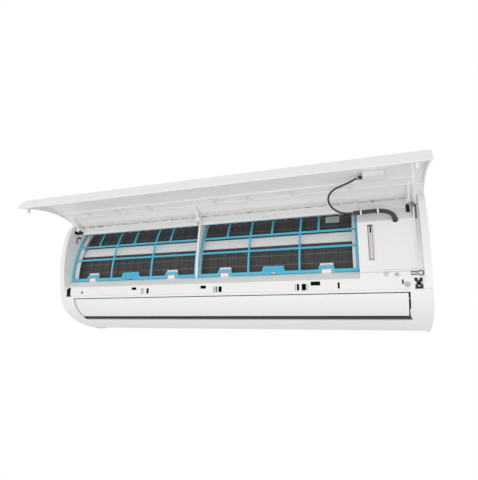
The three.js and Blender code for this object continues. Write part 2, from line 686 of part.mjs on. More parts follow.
function buildChassis() {
  const back = block(-HALF_WIDTH + 4.5, HALF_WIDTH - 4.5, BACK_REAR, BACK_FRONT, 3, BODY_HEIGHT - 4);
  const floor = block(-HALF_WIDTH + 4.5, HALF_WIDTH - 4.5, BACK_REAR, 47, 3, 5.5);
  const ends = [chamberEnd(DUCT_LEFT - END_WALL, DUCT_LEFT), chamberEnd(DUCT_RIGHT, DUCT_RIGHT + END_WALL)];
  const ribs = [-240, -90, 60, 210].map((x) => slab([
    [BACK_FRONT - 1, 4],
    [45, 4],
    [70, 46],
    [50, 63],
    [33, 92],
    [27, 130],
    [BACK_FRONT - 1, 150],
  ], x, x + END_WALL));
  const louverEnd = slab([
    [BACK_FRONT - 1, 6],
    [48, 6],
    [110, 24],
    [138, 38],
    [LOUVER_PIVOT_DEPTH - 12.5, LOUVER_PIVOT_HEIGHT - 10],
    [LOUVER_PIVOT_DEPTH - 4.5, LOUVER_PIVOT_HEIGHT],
    [LOUVER_PIVOT_DEPTH - 4.5, LOUVER_PIVOT_HEIGHT + 12],
    [140, 84],
    [110, 60],
    [BACK_FRONT - 1, 50],
  ], LOUVER_WALL_X, LOUVER_WALL_X + END_WALL);
  const bearingHole = axle(DUCT_LEFT - 5, DUCT_LEFT + 5, FAN_DEPTH, FAN_HEIGHT, 9 + GAP, 24);
  const shaftHole = axle(DUCT_RIGHT - 5, DUCT_RIGHT + 5, FAN_DEPTH, FAN_HEIGHT, 7, 20);
  const hookSlots = [-1, 1].map((side) => block(
    side * HOOK_X - 32, side * HOOK_X + 32, 0, BACK_FRONT + 1, 222, 232,
  ));
  const pipeWindow = block(SERVICE_RIGHT - 72, SERVICE_RIGHT - 6, 0, BACK_FRONT + 1, 30, 60);
  const wheelSpace = axle(DUCT_LEFT - 5, DUCT_RIGHT + 5, FAN_DEPTH, FAN_HEIGHT, FAN_RADIUS + 5, 36);
  const scroll = cut(scrollWall(), wheelSpace);
  const whole = join(back, floor, ...ends, ...ribs, scroll, louverEnd);
  return cut(whole, bearingHole, shaftHole, ...hookSlots, pipeWindow, louverPinHole());
}

function louverPinHole() {
  return axle(LOUVER_WALL_X - 2, LOUVER_WALL_X + 8, LOUVER_PIVOT_DEPTH - 12, LOUVER_PIVOT_HEIGHT, 1, 8);
}

// ---------------------------------------------------------------- wall plate
function buildWallPlate() {
  const sheetPlate = slab([
    [0, 60], [2.6, 60], [2.6, 64], [1.2, 64], [1.2, 236], [2.6, 236], [2.6, 240], [0, 240],
  ], -PLATE_HALF, PLATE_HALF);
  const ribs = [-150, 150].map((x) => block(x - 90, x + 90, 0.6, 2.6, 118, 124));
  const hooks = [-1, 1].map((side) => slab([
    [0.6, 223.5],
    [BACK_FRONT + 2, 223.5],
    [BACK_FRONT + 2, 234],
    [BACK_FRONT + 0.4, 234],
    [BACK_FRONT + 0.4, 225.5],
    [0.6, 225.5],
  ], side * HOOK_X - 28, side * HOOK_X + 28));
  const holes = [];
  for (const x of [-PLATE_HALF + 32, -80, 80, PLATE_HALF - 32]) {
    for (const height of [82, 204]) {
      holes.push(stud(x, height, 3, -1, 4, 10));
    }
  }
  return cut(join(sheetPlate, ...ribs, ...hooks), ...holes);
}

// ---------------------------------------------------------------- coil
const LOWER_SECTION = [[144.3, 104], [134.5, 182]];
const UPPER_SECTION = [[129, 190], [100, 247]];
const REAR_SECTION = [[84, 250], [48, 180]];
const END_PLATE_MARGIN = 0.4;     // the end plates stand out this far round the fins
const COIL_BAR_RISE = 12.5;       // how far the bar runs up the upper section
const COIL_BAR_THICKNESS = 2.3;

// A bank of fins: the comb-edged outline is pushed up along the section.
function coilSection([from, to], fins) {
  const width = COIL_RIGHT - COIL_LEFT;
  const pitch = width / fins;
  const half = COIL_THICKNESS / 2;
  const points = [];
  for (let i = 0; i < fins; i += 1) {
    const x = i * pitch;
    const notch = x + pitch * 0.55;
    points.push([x, half], [notch, half], [notch, half - 1.5], [x + pitch, half - 1.5]);
  }
  points.push([width, -half], [0, -half]);
  const shape = new THREE.Shape(points.map(([x, y]) => new THREE.Vector2(x, y)).reverse());
  const length = Math.hypot(to[0] - from[0], to[1] - from[1]);
  const geometry = new THREE.ExtrudeGeometry(shape, { depth: length, bevelEnabled: false });
  const [along, rise] = unit(to[0] - from[0], to[1] - from[1]);
  const matrix = new THREE.Matrix4().makeBasis(
    new THREE.Vector3(1, 0, 0),
    new THREE.Vector3(0, -rise, -along),
    new THREE.Vector3(0, -along, rise),
  ).setPosition(COIL_LEFT, -from[0], from[1] - MID_HEIGHT);
  const handed = matrix.determinant() > 0;
  geometry.applyMatrix4(matrix);
  if (!handed) flipFaces(geometry);
  return solid(geometry);
}

function flipFaces(geometry) {
  const position = geometry.attributes.position;
  for (let i = 0; i < position.count; i += 3) {
    const a = new THREE.Vector3().fromBufferAttribute(position, i);
    const b = new THREE.Vector3().fromBufferAttribute(position, i + 1);
    position.setXYZ(i, b.x, b.y, b.z);
    position.setXYZ(i + 1, a.x, a.y, a.z);
  }
}

// The four corners of a section in side view, widened by a margin.
function sectionCorners([from, to], margin) {
  const [u, v] = unit(to[0] - from[0], to[1] - from[1]);
  const reach = COIL_THICKNESS / 2 + margin;
  return [
    [from[0] + v * reach - u * margin, from[1] - u * reach - v * margin],
    [to[0] + v * reach + u * margin, to[1] - u * reach + v * margin],
    [to[0] - v * reach + u * margin, to[1] + u * reach + v * margin],
    [from[0] - v * reach - u * margin, from[1] + u * reach - v * margin],
  ];
}

function coilEndPlate(xFrom) {
  const thickness = 1.2;
  const plates = [LOWER_SECTION, UPPER_SECTION, REAR_SECTION].map((section) => slab(
    sectionCorners(section, END_PLATE_MARGIN), xFrom, xFrom + thickness,
  ));
  const bridge = slab([[139, 178], [134.5, 196], [118, 196], [122, 178]], xFrom, xFrom + thickness);
  const ridge = slab([[70, 240], [110, 240], [106, 256], [78, 256]], xFrom, xFrom + thickness);
  return join(...plates, bridge, ridge);
}

// The bar covers the bend between the two front sections and the foot of the upper one.
function coilBar() {
  const lowerTop = sectionCorners(LOWER_SECTION, END_PLATE_MARGIN)[1];
  const [upperFoot, upperTop] = sectionCorners(UPPER_SECTION, END_PLATE_MARGIN);
  const [u, v] = unit(upperFoot[0] - lowerTop[0], upperFoot[1] - lowerTop[1]);
  const [along, rise] = unit(upperTop[0] - upperFoot[0], upperTop[1] - upperFoot[1]);
  const inner = offsetLine([
    [lowerTop[0] + u * 2 * GAP, lowerTop[1] + v * 2 * GAP],
    upperFoot,
    [upperFoot[0] + along * COIL_BAR_RISE, upperFoot[1] + rise * COIL_BAR_RISE],
  ], -GAP);
  return sheet(inner, -COIL_BAR_THICKNESS, COIL_LEFT - 9, COIL_RIGHT + 4);
}

// Return bends on the coil's left end, each a half circle of tube.
function returnBends() {
  const places = [[143, 118], [140.5, 138], [138, 158], [125.4, 197], [115.8, 216], [106.2, 235]];
  const directions = [LOWER_SECTION, LOWER_SECTION, LOWER_SECTION, UPPER_SECTION, UPPER_SECTION,
    UPPER_SECTION];
  const radius = 6;
  return join(...places.map(([depth, height], i) => {
    const [from, to] = directions[i];
    const [u, v] = unit(to[0] - from[0], to[1] - from[1]);
    const path = new THREE.CurvePath();
    const points = Array.from({ length: 9 }, (_, k) => {
      const angle = Math.PI * k / 8;
      const along = -radius * Math.cos(angle);
      const side = radius * Math.sin(angle);
      return new THREE.Vector3(
        COIL_LEFT - GAP - 1 - side,
        -(depth + u * along),
        height + v * along - MID_HEIGHT,
      );
    });
    path.add(new THREE.CatmullRomCurve3(points));
    const section = new THREE.Shape();
    section.absarc(0, 0, 2.6, 0, 2 * Math.PI);
    return solid(new THREE.ExtrudeGeometry(section, {
      steps: 6, extrudePath: path.curves[0], curveSegments: 3, bevelEnabled: false,
    }));
  }));
}

// ---------------------------------------------------------------- drain pan
function buildDrainPan() {
  const trough = slab([
    [130.5, 112], [133, 112], [134, 100], [156, 100], [158, 114], [160.5, 114], [159.5, 96.5],
    [176, 87], [175.6, 84.4], [150, 86.5], [130.5, 88.4],
  ], COIL_LEFT - 1, COIL_RIGHT + 1);
  const foot = slab([
    [130.5, 88.4], [150, 86.5], [157.5, 85.9], [157.5, 89], [130.5, 91],
  ], COIL_RIGHT, DUCT_RIGHT + END_WALL);
  const socketRoom = block(-SOCKET_X - 7, -SOCKET_X + 7, LOWER_DEPTH - 16, LOWER_DEPTH, 80, 96);
  return cut(join(trough, foot), socketRoom, ...vanePinHoles());
}

// Where the vanes' pins turn in the pan's underside.
function vanePinHoles() {
  return Object.values(VANE_GROUPS).flatMap((start) => Array.from({ length: VANES_IN_GROUP }, (_, i) => {
    const hole = new THREE.CylinderGeometry(VANE_PIN_RADIUS + GAP, VANE_PIN_RADIUS + GAP, 20, 8);
    hole.rotateX(Math.PI / 2);
    hole.translate(0, 0, VANE_PIN_TOP + GAP - 10);
    hole.rotateX(rad(VANE_TILT_DEG));
    hole.translate(start + i * VANE_PITCH, -VANE_PIVOT_DEPTH, VANE_PIVOT_HEIGHT - MID_HEIGHT);
    return solid(hole);
  }));
}

// ---------------------------------------------------------------- fan wheel
function fanBlade(index) {
  const inner = FAN_RADIUS - 10;
  const outer = FAN_RADIUS - 1;
  const sweep = rad(14);
  const points = [];
  for (const [side, order] of [[1, [0, 1, 2]], [-1, [2, 1, 0]]]) {
    for (const k of order) {
      const radius = inner + (outer - inner) * k / 2;
      const bow = k === 1 ? 0.1 : 0;
      const angle = sweep * (k / 2) + bow + side * BLADE_THICKNESS / 2 / radius
        + index * 2 * Math.PI / FAN_BLADES;
      points.push([FAN_DEPTH + radius * Math.cos(angle), FAN_HEIGHT + radius * Math.sin(angle)]);
    }
  }
  return slab(points.reverse(), FAN_LEFT + 0.5, FAN_RIGHT - 0.5);
}

function ring(xFrom, xTo, outer, inner, segments = 24) {
  return cut(
    axle(xFrom, xTo, FAN_DEPTH, FAN_HEIGHT, outer, segments),
    axle(xFrom - 1, xTo + 1, FAN_DEPTH, FAN_HEIGHT, inner, segments),
  );
}

function buildFanWheel() {
  const blades = Array.from({ length: FAN_BLADES }, (_, i) => fanBlade(i));
  const length = FAN_RIGHT - FAN_LEFT;
  const rings = [1 / 3, 2 / 3].map((share) => {
    const x = FAN_LEFT + length * share;
    return ring(x - 1, x + 1, FAN_RADIUS, FAN_RADIUS - 11.5);
  });
  const leftDisc = axle(FAN_LEFT, FAN_LEFT + 2, FAN_DEPTH, FAN_HEIGHT, FAN_RADIUS, 24);
  const rightDisc = axle(FAN_RIGHT - 2, FAN_RIGHT, FAN_DEPTH, FAN_HEIGHT, FAN_RADIUS, 24);
  const leftShaft = axle(DUCT_LEFT - 3, FAN_LEFT + 1, FAN_DEPTH, FAN_HEIGHT, FAN_SHAFT_RADIUS, 16);
  const rightHub = axle(FAN_RIGHT - 1, FAN_RIGHT + 6, FAN_DEPTH, FAN_HEIGHT, 11, 20);
  const socket = axle(FAN_RIGHT - 1, FAN_RIGHT + 8, FAN_DEPTH, FAN_HEIGHT, FAN_SHAFT_RADIUS + GAP, 16);
  return cut(join(...blades, ...rings, leftDisc, rightDisc, leftShaft, rightHub), socket);
}

function buildFanBearing() {
  return cut(
    axle(DUCT_LEFT - END_WALL - 1, DUCT_LEFT + 1, FAN_DEPTH, FAN_HEIGHT, 9, 24),
    axle(DUCT_LEFT - 8, DUCT_LEFT + 8, FAN_DEPTH, FAN_HEIGHT, FAN_SHAFT_RADIUS + GAP, 16),
  );
}

function buildFanMotor() {
  const profile = [
    [0, MOTOR_LEFT], [MOTOR_RADIUS - 6, MOTOR_LEFT], [MOTOR_RADIUS, MOTOR_LEFT + 6],
    [MOTOR_RADIUS, MOTOR_RIGHT - 6], [MOTOR_RADIUS - 6, MOTOR_RIGHT], [0, MOTOR_RIGHT],
  ].map(([radius, x]) => new THREE.Vector2(radius, x));
  const can = new THREE.LatheGeometry(profile, 28);
  can.rotateZ(-Math.PI / 2);
  can.translate(0, -FAN_DEPTH, FAN_HEIGHT - MID_HEIGHT);
  const shaft = axle(FAN_RIGHT + 0.5, MOTOR_LEFT + 1, FAN_DEPTH, FAN_HEIGHT, FAN_SHAFT_RADIUS, 16);
  return join(solid(can), shaft);
}

function buildMotorBracket() {
  const seat = axle(MOTOR_LEFT, MOTOR_RIGHT, FAN_DEPTH, FAN_HEIGHT, MOTOR_RADIUS + GAP, 28);
  return cut(block(MOTOR_LEFT + 8, MOTOR_RIGHT - 8, BACK_FRONT + GAP, 66, 84, 156), seat);
}

function buildMotorClamp() {
  const inner = MOTOR_RADIUS + 2 * GAP;
  const band = [...arc([FAN_DEPTH, FAN_HEIGHT], inner + 2, -108, 108, 14),
    ...arc([FAN_DEPTH, FAN_HEIGHT], inner, -108, 108, 14).reverse()];
  const strap = slab(band, MOTOR_LEFT + 20, MOTOR_LEFT + 36);
  const room = block(MOTOR_LEFT, MOTOR_RIGHT, 0, 66 + GAP, 83.7, 156.3);
  return cut(strap, room);
}

// ---------------------------------------------------------------- electrics
const BOX_LEFT = DUCT_RIGHT + END_WALL + GAP;
const BOX_RIGHT = SERVICE_RIGHT - 6;
const BOX_REAR = 126;
const BOX_FRONT = 172;
const BOX_BOTTOM = 122;
const BOX_TOP = 206;

function buildElectricBox() {
  const shell = block(BOX_LEFT, BOX_RIGHT, BOX_REAR, BOX_FRONT, BOX_BOTTOM, BOX_TOP);
  const hollow = block(
    BOX_LEFT + 2, BOX_RIGHT - 2, BOX_REAR + 2, BOX_FRONT + 5, BOX_BOTTOM + 2, BOX_TOP - 2,
  );
  const wireWay = block(
    BOX_RIGHT - 56, BOX_RIGHT - 24, BOX_REAR + 10, BOX_FRONT - 8, BOX_BOTTOM - 5, BOX_BOTTOM + 5,
  );
  return cut(shell, hollow, wireWay);
}

function buildCircuitBoard() {
  const floor = BOX_REAR + 2 + GAP;
  const board = block(BOX_LEFT + 4, BOX_RIGHT - 4, floor + 3, floor + 4.6, BOX_BOTTOM + 5, BOX_TOP - 5);
  const feet = [[BOX_LEFT + 10, 132], [BOX_RIGHT - 10, 132], [BOX_LEFT + 10, 196], [BOX_RIGHT - 10, 196]]
    .map(([x, height]) => stud(x, height, 2.5, floor, floor + 4, 10));
  const parts = [
    stud(BOX_LEFT + 18.2, 186, 9, floor + 4, floor + 26),
    block(BOX_RIGHT - 51, BOX_RIGHT - 24, floor + 4, floor + 22, 178, 198),
    block(BOX_LEFT + 8.2, BOX_LEFT + 28.2, floor + 4, floor + 18, 150, 175),
    block(BOX_RIGHT - 18, BOX_RIGHT - 8, floor + 4, floor + 16, 172, 192),
  ];
  return join(board, ...feet, ...parts);
}

function buildTerminalBlock() {
  const floor = BOX_REAR + 2 + GAP + 4.6 + GAP;
  const left = BOX_RIGHT - 56;
  const base = block(left, left + 46, floor, floor + 28, 134, 158);
  const bays = Array.from({ length: 5 }, (_, i) => block(
    left + 2.5 + i * 8.6, left + 8.5 + i * 8.6, floor + 18, floor + 30, 137, 155,
  ));
  return cut(base, ...bays);
}

function buildServiceCover() {
  const plate = block(
    COVER_LEFT, COVER_RIGHT, SERVICE_DEPTH + GAP, SERVICE_DEPTH + 2, COVER_BOTTOM, COVER_TOP,
  );
  const plug = block(COVER_LEFT + 6.5, COVER_RIGHT - 8.5, SERVICE_DEPTH - 3, SERVICE_DEPTH + 1,
    COVER_BOTTOM + 6.5, COVER_TOP - 6.5);
  const hollow = block(COVER_LEFT + 8.5, COVER_RIGHT - 10.5, SERVICE_DEPTH - 5, SERVICE_DEPTH + 0.4,
    COVER_BOTTOM + 8.5, COVER_TOP - 8.5);
  return cut(join(plate, plug), hollow);
}

function screw(x, height, seat) {
  const head = stud(x, height, 3.4, seat + GAP, seat + 1.9, 18);
  const shank = stud(x, height, 1.6, seat - 6, seat + 1, 10);
  const slotWide = block(x - 2, x + 2, seat + 1.2, seat + 3, height - 0.4, height + 0.4);
  const slotTall = block(x - 0.4, x + 0.4, seat + 1.2, seat + 3, height - 2, height + 2);
  return cut(join(head, shank), slotWide, slotTall);
}

function buildEmergencyButton() {
  return join(
    stud(BUTTON_X, BUTTON_HEIGHT, BUTTON_RADIUS, LOWER_DEPTH - 7, LOWER_DEPTH + 0.8, 24),
    stud(BUTTON_X, BUTTON_HEIGHT, BUTTON_RADIUS + 1.6, LOWER_DEPTH - 7, LOWER_DEPTH - WALL - GAP, 24),
  );
}

// ---------------------------------------------------------------- latch sockets and clip
function buildLatchSocket(side) {
  const x = side * SOCKET_X;
  const shell = block(x - SOCKET_HALF_WIDTH, x + SOCKET_HALF_WIDTH, LOWER_DEPTH - 14, LOWER_DEPTH + 0.4,
    SOCKET_HEIGHT - SOCKET_HALF_HEIGHT, SOCKET_HEIGHT + SOCKET_HALF_HEIGHT);
  const mouth = block(x - 3.4, x + 3.4, LOWER_DEPTH - 12.5, LOWER_DEPTH + 5, SOCKET_HEIGHT - 5.2,
    SOCKET_HEIGHT + 5.2);
  const notches = [-1, 1].map((edge) => block(
    x + edge * SOCKET_HALF_WIDTH - 1.1, x + edge * SOCKET_HALF_WIDTH + 1.1, LOWER_DEPTH - 2, LOWER_DEPTH + 5,
    SOCKET_HEIGHT - 2.6, SOCKET_HEIGHT + 2.6,
  ));
  return cut(shell, mouth, ...notches);
}

// A wire bent to a keyhole: two legs from the casing and a ring by the folded stay's end.
function buildStayClip() {
  const front = -(LOWER_DEPTH + CLIP_WIRE_RADIUS + 2 * GAP);
  const rear = -(LOWER_DEPTH - 4);
  const z = CLIP_HEIGHT - MID_HEIGHT;
  const foot = CLIP_X - CLIP_LEG;
  const ringStart = 150;
  const ringPoints = Array.from({ length: 9 }, (_, i) => {
    const angle = rad(ringStart - i * ringStart / 4);
    return [CLIP_X + CLIP_RING_RADIUS * Math.cos(angle), front, z + CLIP_RING_RADIUS * Math.sin(angle)];
  });
  const points = [
    [foot, rear, z + CLIP_LEG_RISE],
    [foot, front, z + CLIP_LEG_RISE],
    [foot + CLIP_LEG / 3, front, z + CLIP_LEG_RISE],
    ...ringPoints,
    [foot + CLIP_LEG / 3, front, z - CLIP_LEG_RISE],
    [foot, front, z - CLIP_LEG_RISE],
    [foot, rear, z - CLIP_LEG_RISE],
  ].map(([x, y, height]) => new THREE.Vector3(x, y, height));
  const curve = new THREE.CatmullRomCurve3(points, false, 'centripetal');
  const section = new THREE.Shape();
  section.absarc(0, 0, CLIP_WIRE_RADIUS, 0, 2 * Math.PI);
  return solid(new THREE.ExtrudeGeometry(section, {
    steps: 40, extrudePath: curve, curveSegments: 3, bevelEnabled: false,
  }));
}

// ---------------------------------------------------------------- filters
const RAIL_HEIGHTS = [174, 210];
const MAIN_RIBS = [-56, 56];
const SHORT_RIBS = [-112, -7, 95];
const GRIP_HALF_TOP = 22;
const GRIP_HALF_BOTTOM = 27;
const GRIP_TOP = 138;
const BOTTOM_RAIL = 6.5;
const ARCH_STEP = 111;            // the arches stand this far from the filter's middle
const ARCH_HALF_BOTTOM = 15;
const ARCH_HALF_TOP = 10;
const ARCH_TOP = 129;
const ARCH_RIM = 5.5;             // blue strip over the arch

function filterFrame(left) {
  const inner = FILTER_ARC_RADIUS - FILTER_THICKNESS / 2;
  const outer = FILTER_ARC_RADIUS + FILTER_THICKNESS / 2;
  const centre = left + FILTER_WIDTH / 2;
  const plate = arcSheet(inner, outer, 0, FILTER_ARC_DEG, left, left + FILTER_WIDTH, 10);
  const bottomEdge = arcDegAt(FILTER_BOTTOM + BOTTOM_RAIL);
  const [railA, railB] = RAIL_HEIGHTS.map(arcDegAt);
  const half = THREE.MathUtils.radToDeg(RAIL / 2 / FILTER_ARC_RADIUS);
  const topEdge = FILTER_ARC_DEG - 2 * half;
  const bounds = [left + RAIL, ...MAIN_RIBS.map((x) => centre + x), left + FILTER_WIDTH - RAIL];
  const panes = [];
  const pane = (fromDeg, toDeg, xFrom, xTo) => {
    const steps = Math.max(2, Math.round((toDeg - fromDeg) / 3.5));
    panes.push(arcSheet(inner - 2, outer + 2, fromDeg, toDeg, xFrom, xTo, steps));
  };
  for (let column = 0; column < 3; column += 1) {
    const xFrom = bounds[column] + (column === 0 ? 0 : RAIL / 2);
    const xTo = bounds[column + 1] - (column === 2 ? 0 : RAIL / 2);
    pane(bottomEdge, railA - half, xFrom, xTo);
    pane(railA + half, railB - half, xFrom, xTo);
    const split = centre + SHORT_RIBS[column];
    pane(railB + half, topEdge, xFrom, split - RAIL / 2);
    pane(railB + half, topEdge, split + RAIL / 2, xTo);
  }
  const archShape = (x) => trapezoid(
    x, ARCH_HALF_BOTTOM, ARCH_HALF_TOP, FILTER_BOTTOM - 3, ARCH_TOP, inner - 2, outer + 2,
  );
  const archRim = (x) => trapezoid(
    x, ARCH_HALF_BOTTOM + RAIL, ARCH_HALF_TOP + RAIL, FILTER_BOTTOM, ARCH_TOP + ARCH_RIM, inner, outer,
  );
  const grip = trapezoid(centre, GRIP_HALF_BOTTOM, GRIP_HALF_TOP, FILTER_BOTTOM, GRIP_TOP, inner, outer);
  const gripNotch = trapezoid(centre, 7, 6, FILTER_BOTTOM - 3, FILTER_BOTTOM + 1.6, inner - 2, outer + 2);
  const arches = [-ARCH_STEP, ARCH_STEP].map((step) => archShape(centre + step));
  const rims = [-ARCH_STEP, ARCH_STEP].map((step) => archRim(centre + step));
  return cut(join(cut(plate, ...panes), ...rims, grip), ...arches, gripNotch);
}

// A trapezoid standing on the filter's lower edge, as deep as two radii of the arc.
function trapezoid(x, halfBottom, halfTop, heightFrom, heightTo, innerRadius, outerRadius) {
  const shape = new THREE.Shape([
    new THREE.Vector2(x - halfBottom, heightFrom - MID_HEIGHT),
    new THREE.Vector2(x + halfBottom, heightFrom - MID_HEIGHT),
    new THREE.Vector2(x + halfTop, heightTo - MID_HEIGHT),
    new THREE.Vector2(x - halfTop, heightTo - MID_HEIGHT),
  ]);
  const place = new THREE.Matrix4().makeBasis(
    new THREE.Vector3(1, 0, 0),
    new THREE.Vector3(0, 0, 1),
    new THREE.Vector3(0, -1, 0),
  );
  const flat = new THREE.ExtrudeGeometry(shape, { depth: 40, bevelEnabled: false }).applyMatrix4(place);
  flat.translate(0, -(FILTER_DEPTH - 24), 0);
  const band = arcSheet(innerRadius, outerRadius, -2, arcDegAt(heightTo + 4), x - halfBottom - 1,
    x + halfBottom + 1, 4);
  return solid(flat).intersect(band);
}

const NET_COLUMNS = 7;
const NET_ROWS = 5;
const NET_WIRE = 2.4;

function filterNet(left) {
  const outer = NET_RADIUS;
  const inner = NET_RADIUS - NET_THICKNESS;
  const fromDeg = arcDegAt(FILTER_BOTTOM + 0.5);
  const toDeg = FILTER_ARC_DEG - 0.3;
  const xFrom = left + 1;
  const xTo = left + FILTER_WIDTH - 1;
  const border = 3;
  const centre = left + FILTER_WIDTH / 2;
  const plate = arcSheet(inner, outer, fromDeg, toDeg, xFrom, xTo, 10);
  const columnPitch = (xTo - xFrom - 2 * border + NET_WIRE) / NET_COLUMNS;
  const borderDeg = THREE.MathUtils.radToDeg(border / inner);
  const wireDeg = THREE.MathUtils.radToDeg(NET_WIRE / inner);
  const startDeg = arcDegAt(GRIP_TOP + 3);
  const rowPitch = (toDeg - borderDeg - startDeg + wireDeg) / NET_ROWS;
  const gaps = [];
  for (let column = 0; column < NET_COLUMNS; column += 1) {
    const x = xFrom + border + column * columnPitch;
    for (let row = 0; row < NET_ROWS; row += 1) {
      const deg = startDeg + row * rowPitch;
      gaps.push(arcSheet(
        inner - 1, outer + 1, deg, deg + rowPitch - wireDeg, x, x + columnPitch - NET_WIRE, 1,
      ));
    }
  }
  const arches = [-ARCH_STEP, ARCH_STEP].map((step) => trapezoid(
    centre + step, ARCH_HALF_BOTTOM + 1, ARCH_HALF_TOP + 1,
    FILTER_BOTTOM - 3, ARCH_TOP + 1, inner - 2, outer + 2,
  ));
  return cut(plate, ...gaps, ...arches);
}

// ---------------------------------------------------------------- louver
function buildLouver() {
  const line = underLine.filter(([depth]) => depth > LOUVER_REAR_DEPTH + 1 && depth < LOWER_DEPTH - 0.3);
  const rear = [LOUVER_REAR_DEPTH, underHeight(LOUVER_REAR_DEPTH)];
  const rim = [[LOWER_DEPTH - 0.8, LIP_BOTTOM - 2], ...line, rear];
  const blade = sheet(rim, -LOUVER_THICKNESS, -LOUVER_HALF, LOUVER_HALF);
  const ear = (xFrom, xTo) => slab([
    [LOUVER_PIVOT_DEPTH - 4, LOUVER_PIVOT_HEIGHT - 4],
    [LOUVER_PIVOT_DEPTH + 1, LOUVER_PIVOT_HEIGHT - 5],
    [LOUVER_PIVOT_DEPTH + 6, LOUVER_PIVOT_HEIGHT - 8],
    [LOUVER_PIVOT_DEPTH + 7, LOUVER_PIVOT_HEIGHT + 4],
    [LOUVER_PIVOT_DEPTH + 1, LOUVER_PIVOT_HEIGHT + 5],
    [LOUVER_PIVOT_DEPTH - 4, LOUVER_PIVOT_HEIGHT + 3],
  ], xFrom, xTo).intersect(slab(profileLine, xFrom - 1, xTo + 1));
  const stiffener = sheet([[151, 37.6], [148.4, 45.5]], 2, -LOUVER_HALF + 8, LOUVER_HALF - 8);
  const leftPin = axle(
    DUCT_LEFT - 10, -LOUVER_HALF + 1, LOUVER_PIVOT_DEPTH, LOUVER_PIVOT_HEIGHT, LOUVER_PIN_RADIUS, 12,
  );
  const socket = axle(
    LOUVER_HALF - 9, LOUVER_HALF + 1, LOUVER_PIVOT_DEPTH, LOUVER_PIVOT_HEIGHT, LOUVER_PIN_RADIUS + GAP, 12,
  );
  return cut(join(
    blade, stiffener, ear(-LOUVER_HALF, -LOUVER_HALF + 3), ear(LOUVER_HALF - 6, LOUVER_HALF), leftPin,
  ), socket);
}

// Bearing that carries the louver's left pin, held on the fan chamber's end wall.
function buildLouverBearing() {
  const bracket = slab([
    [LOUVER_PIVOT_DEPTH - 22.5, LOUVER_PIVOT_HEIGHT - 14],
    [LOUVER_PIVOT_DEPTH - 14.5, LOUVER_PIVOT_HEIGHT - 12.5],
    [LOUVER_PIVOT_DEPTH - 4.5, LOUVER_PIVOT_HEIGHT - 7],
    [LOUVER_PIVOT_DEPTH + 2.2, LOUVER_PIVOT_HEIGHT - 1],
    [LOUVER_PIVOT_DEPTH + 3.7, LOUVER_PIVOT_HEIGHT + 4],
    [LOUVER_PIVOT_DEPTH - 2.5, LOUVER_PIVOT_HEIGHT + 10],
    [LOUVER_PIVOT_DEPTH - 13.9, LOUVER_PIVOT_HEIGHT + 14],
    [LOUVER_PIVOT_DEPTH - 22.5, LOUVER_PIVOT_HEIGHT + 14],
  ], DUCT_LEFT - END_WALL - 8, DUCT_LEFT - END_WALL - GAP);
  return cut(bracket, axle(
    DUCT_LEFT - 20, DUCT_LEFT + 10, LOUVER_PIVOT_DEPTH, LOUVER_PIVOT_HEIGHT, LOUVER_PIN_RADIUS + GAP, 12,
  ));
}

function buildLouverMotor() {
  const can = axle(
    LOUVER_HALF + 5, LOUVER_WALL_X - GAP, LOUVER_PIVOT_DEPTH - 9, LOUVER_PIVOT_HEIGHT + 1, 11.5, 24,
  );
  const shaft = axle(
    LOUVER_HALF - 8, LOUVER_HALF + 6, LOUVER_PIVOT_DEPTH, LOUVER_PIVOT_HEIGHT, LOUVER_PIN_RADIUS, 12,
  );
  return join(can, shaft);
}

// ---------------------------------------------------------------- vanes
const VANE_TILT_DEG = 40;         // the duct slopes down and out at this angle
const VANE_PIVOT_DEPTH = 145;
const VANE_PIVOT_HEIGHT = 86.9;
const VANE_PITCH = 60;
const VANES_IN_GROUP = 5;
const VANE_GROUPS = { left: DUCT_LEFT + 43, right: DUCT_RIGHT - 55 - VANE_PITCH * (VANES_IN_GROUP - 1) };
const VANE_ARM = 14;              // pivot to the link's stem
const VANE_THICKNESS = 1.4;
const VANE_PIN_RADIUS = 1.6;
const VANE_PIN_TOP = 6;
const STEM_RADIUS = 1.1;
const LINK_LEVEL = -18;           // the link bar along the pins, below the pan
const LINK_HALF = 1;

// Vane pieces are drawn in their own frame: X across, -Y along the air, Z along the pivot pin.
// The blade's upstream edge is a fork that holds the stem, with the link bar inside the fork.
function vaneGeometry() {
  const fork = VANE_ARM + 1;
  const mouth = 7.5;
  const shape = new THREE.Shape([
    [fork, -13.8], [12.3, -13.3], [-6.3, 1], [-17.2, -5], [-23.7, -20.5], [-19.9, -31.5], [4.2, -30.8],
    [fork, -24], [fork, LINK_LEVEL - 2.5], [mouth, LINK_LEVEL - 2.5], [mouth, LINK_LEVEL + 2.5],
    [fork, LINK_LEVEL + 2.5],
  ].map(([u, v]) => new THREE.Vector2(u, v)));
  const blade = new THREE.ExtrudeGeometry(shape, { depth: VANE_THICKNESS, bevelEnabled: false });
  blade.applyMatrix4(new THREE.Matrix4().makeBasis(
    new THREE.Vector3(0, 1, 0),
    new THREE.Vector3(0, 0, 1),
    new THREE.Vector3(1, 0, 0),
  ));
  blade.translate(-VANE_THICKNESS / 2, 0, 0);
  const pin = new THREE.CylinderGeometry(VANE_PIN_RADIUS, VANE_PIN_RADIUS, VANE_PIN_TOP + 7, 8);
  pin.rotateX(Math.PI / 2);
  pin.translate(0, 0, (VANE_PIN_TOP - 7) / 2);
  const stem = new THREE.CylinderGeometry(STEM_RADIUS, STEM_RADIUS, 7, 6);
  stem.rotateX(Math.PI / 2);
  stem.translate(0, VANE_ARM - 0.4, LINK_LEVEL);
  return join(solid(blade), solid(pin), solid(stem));
}

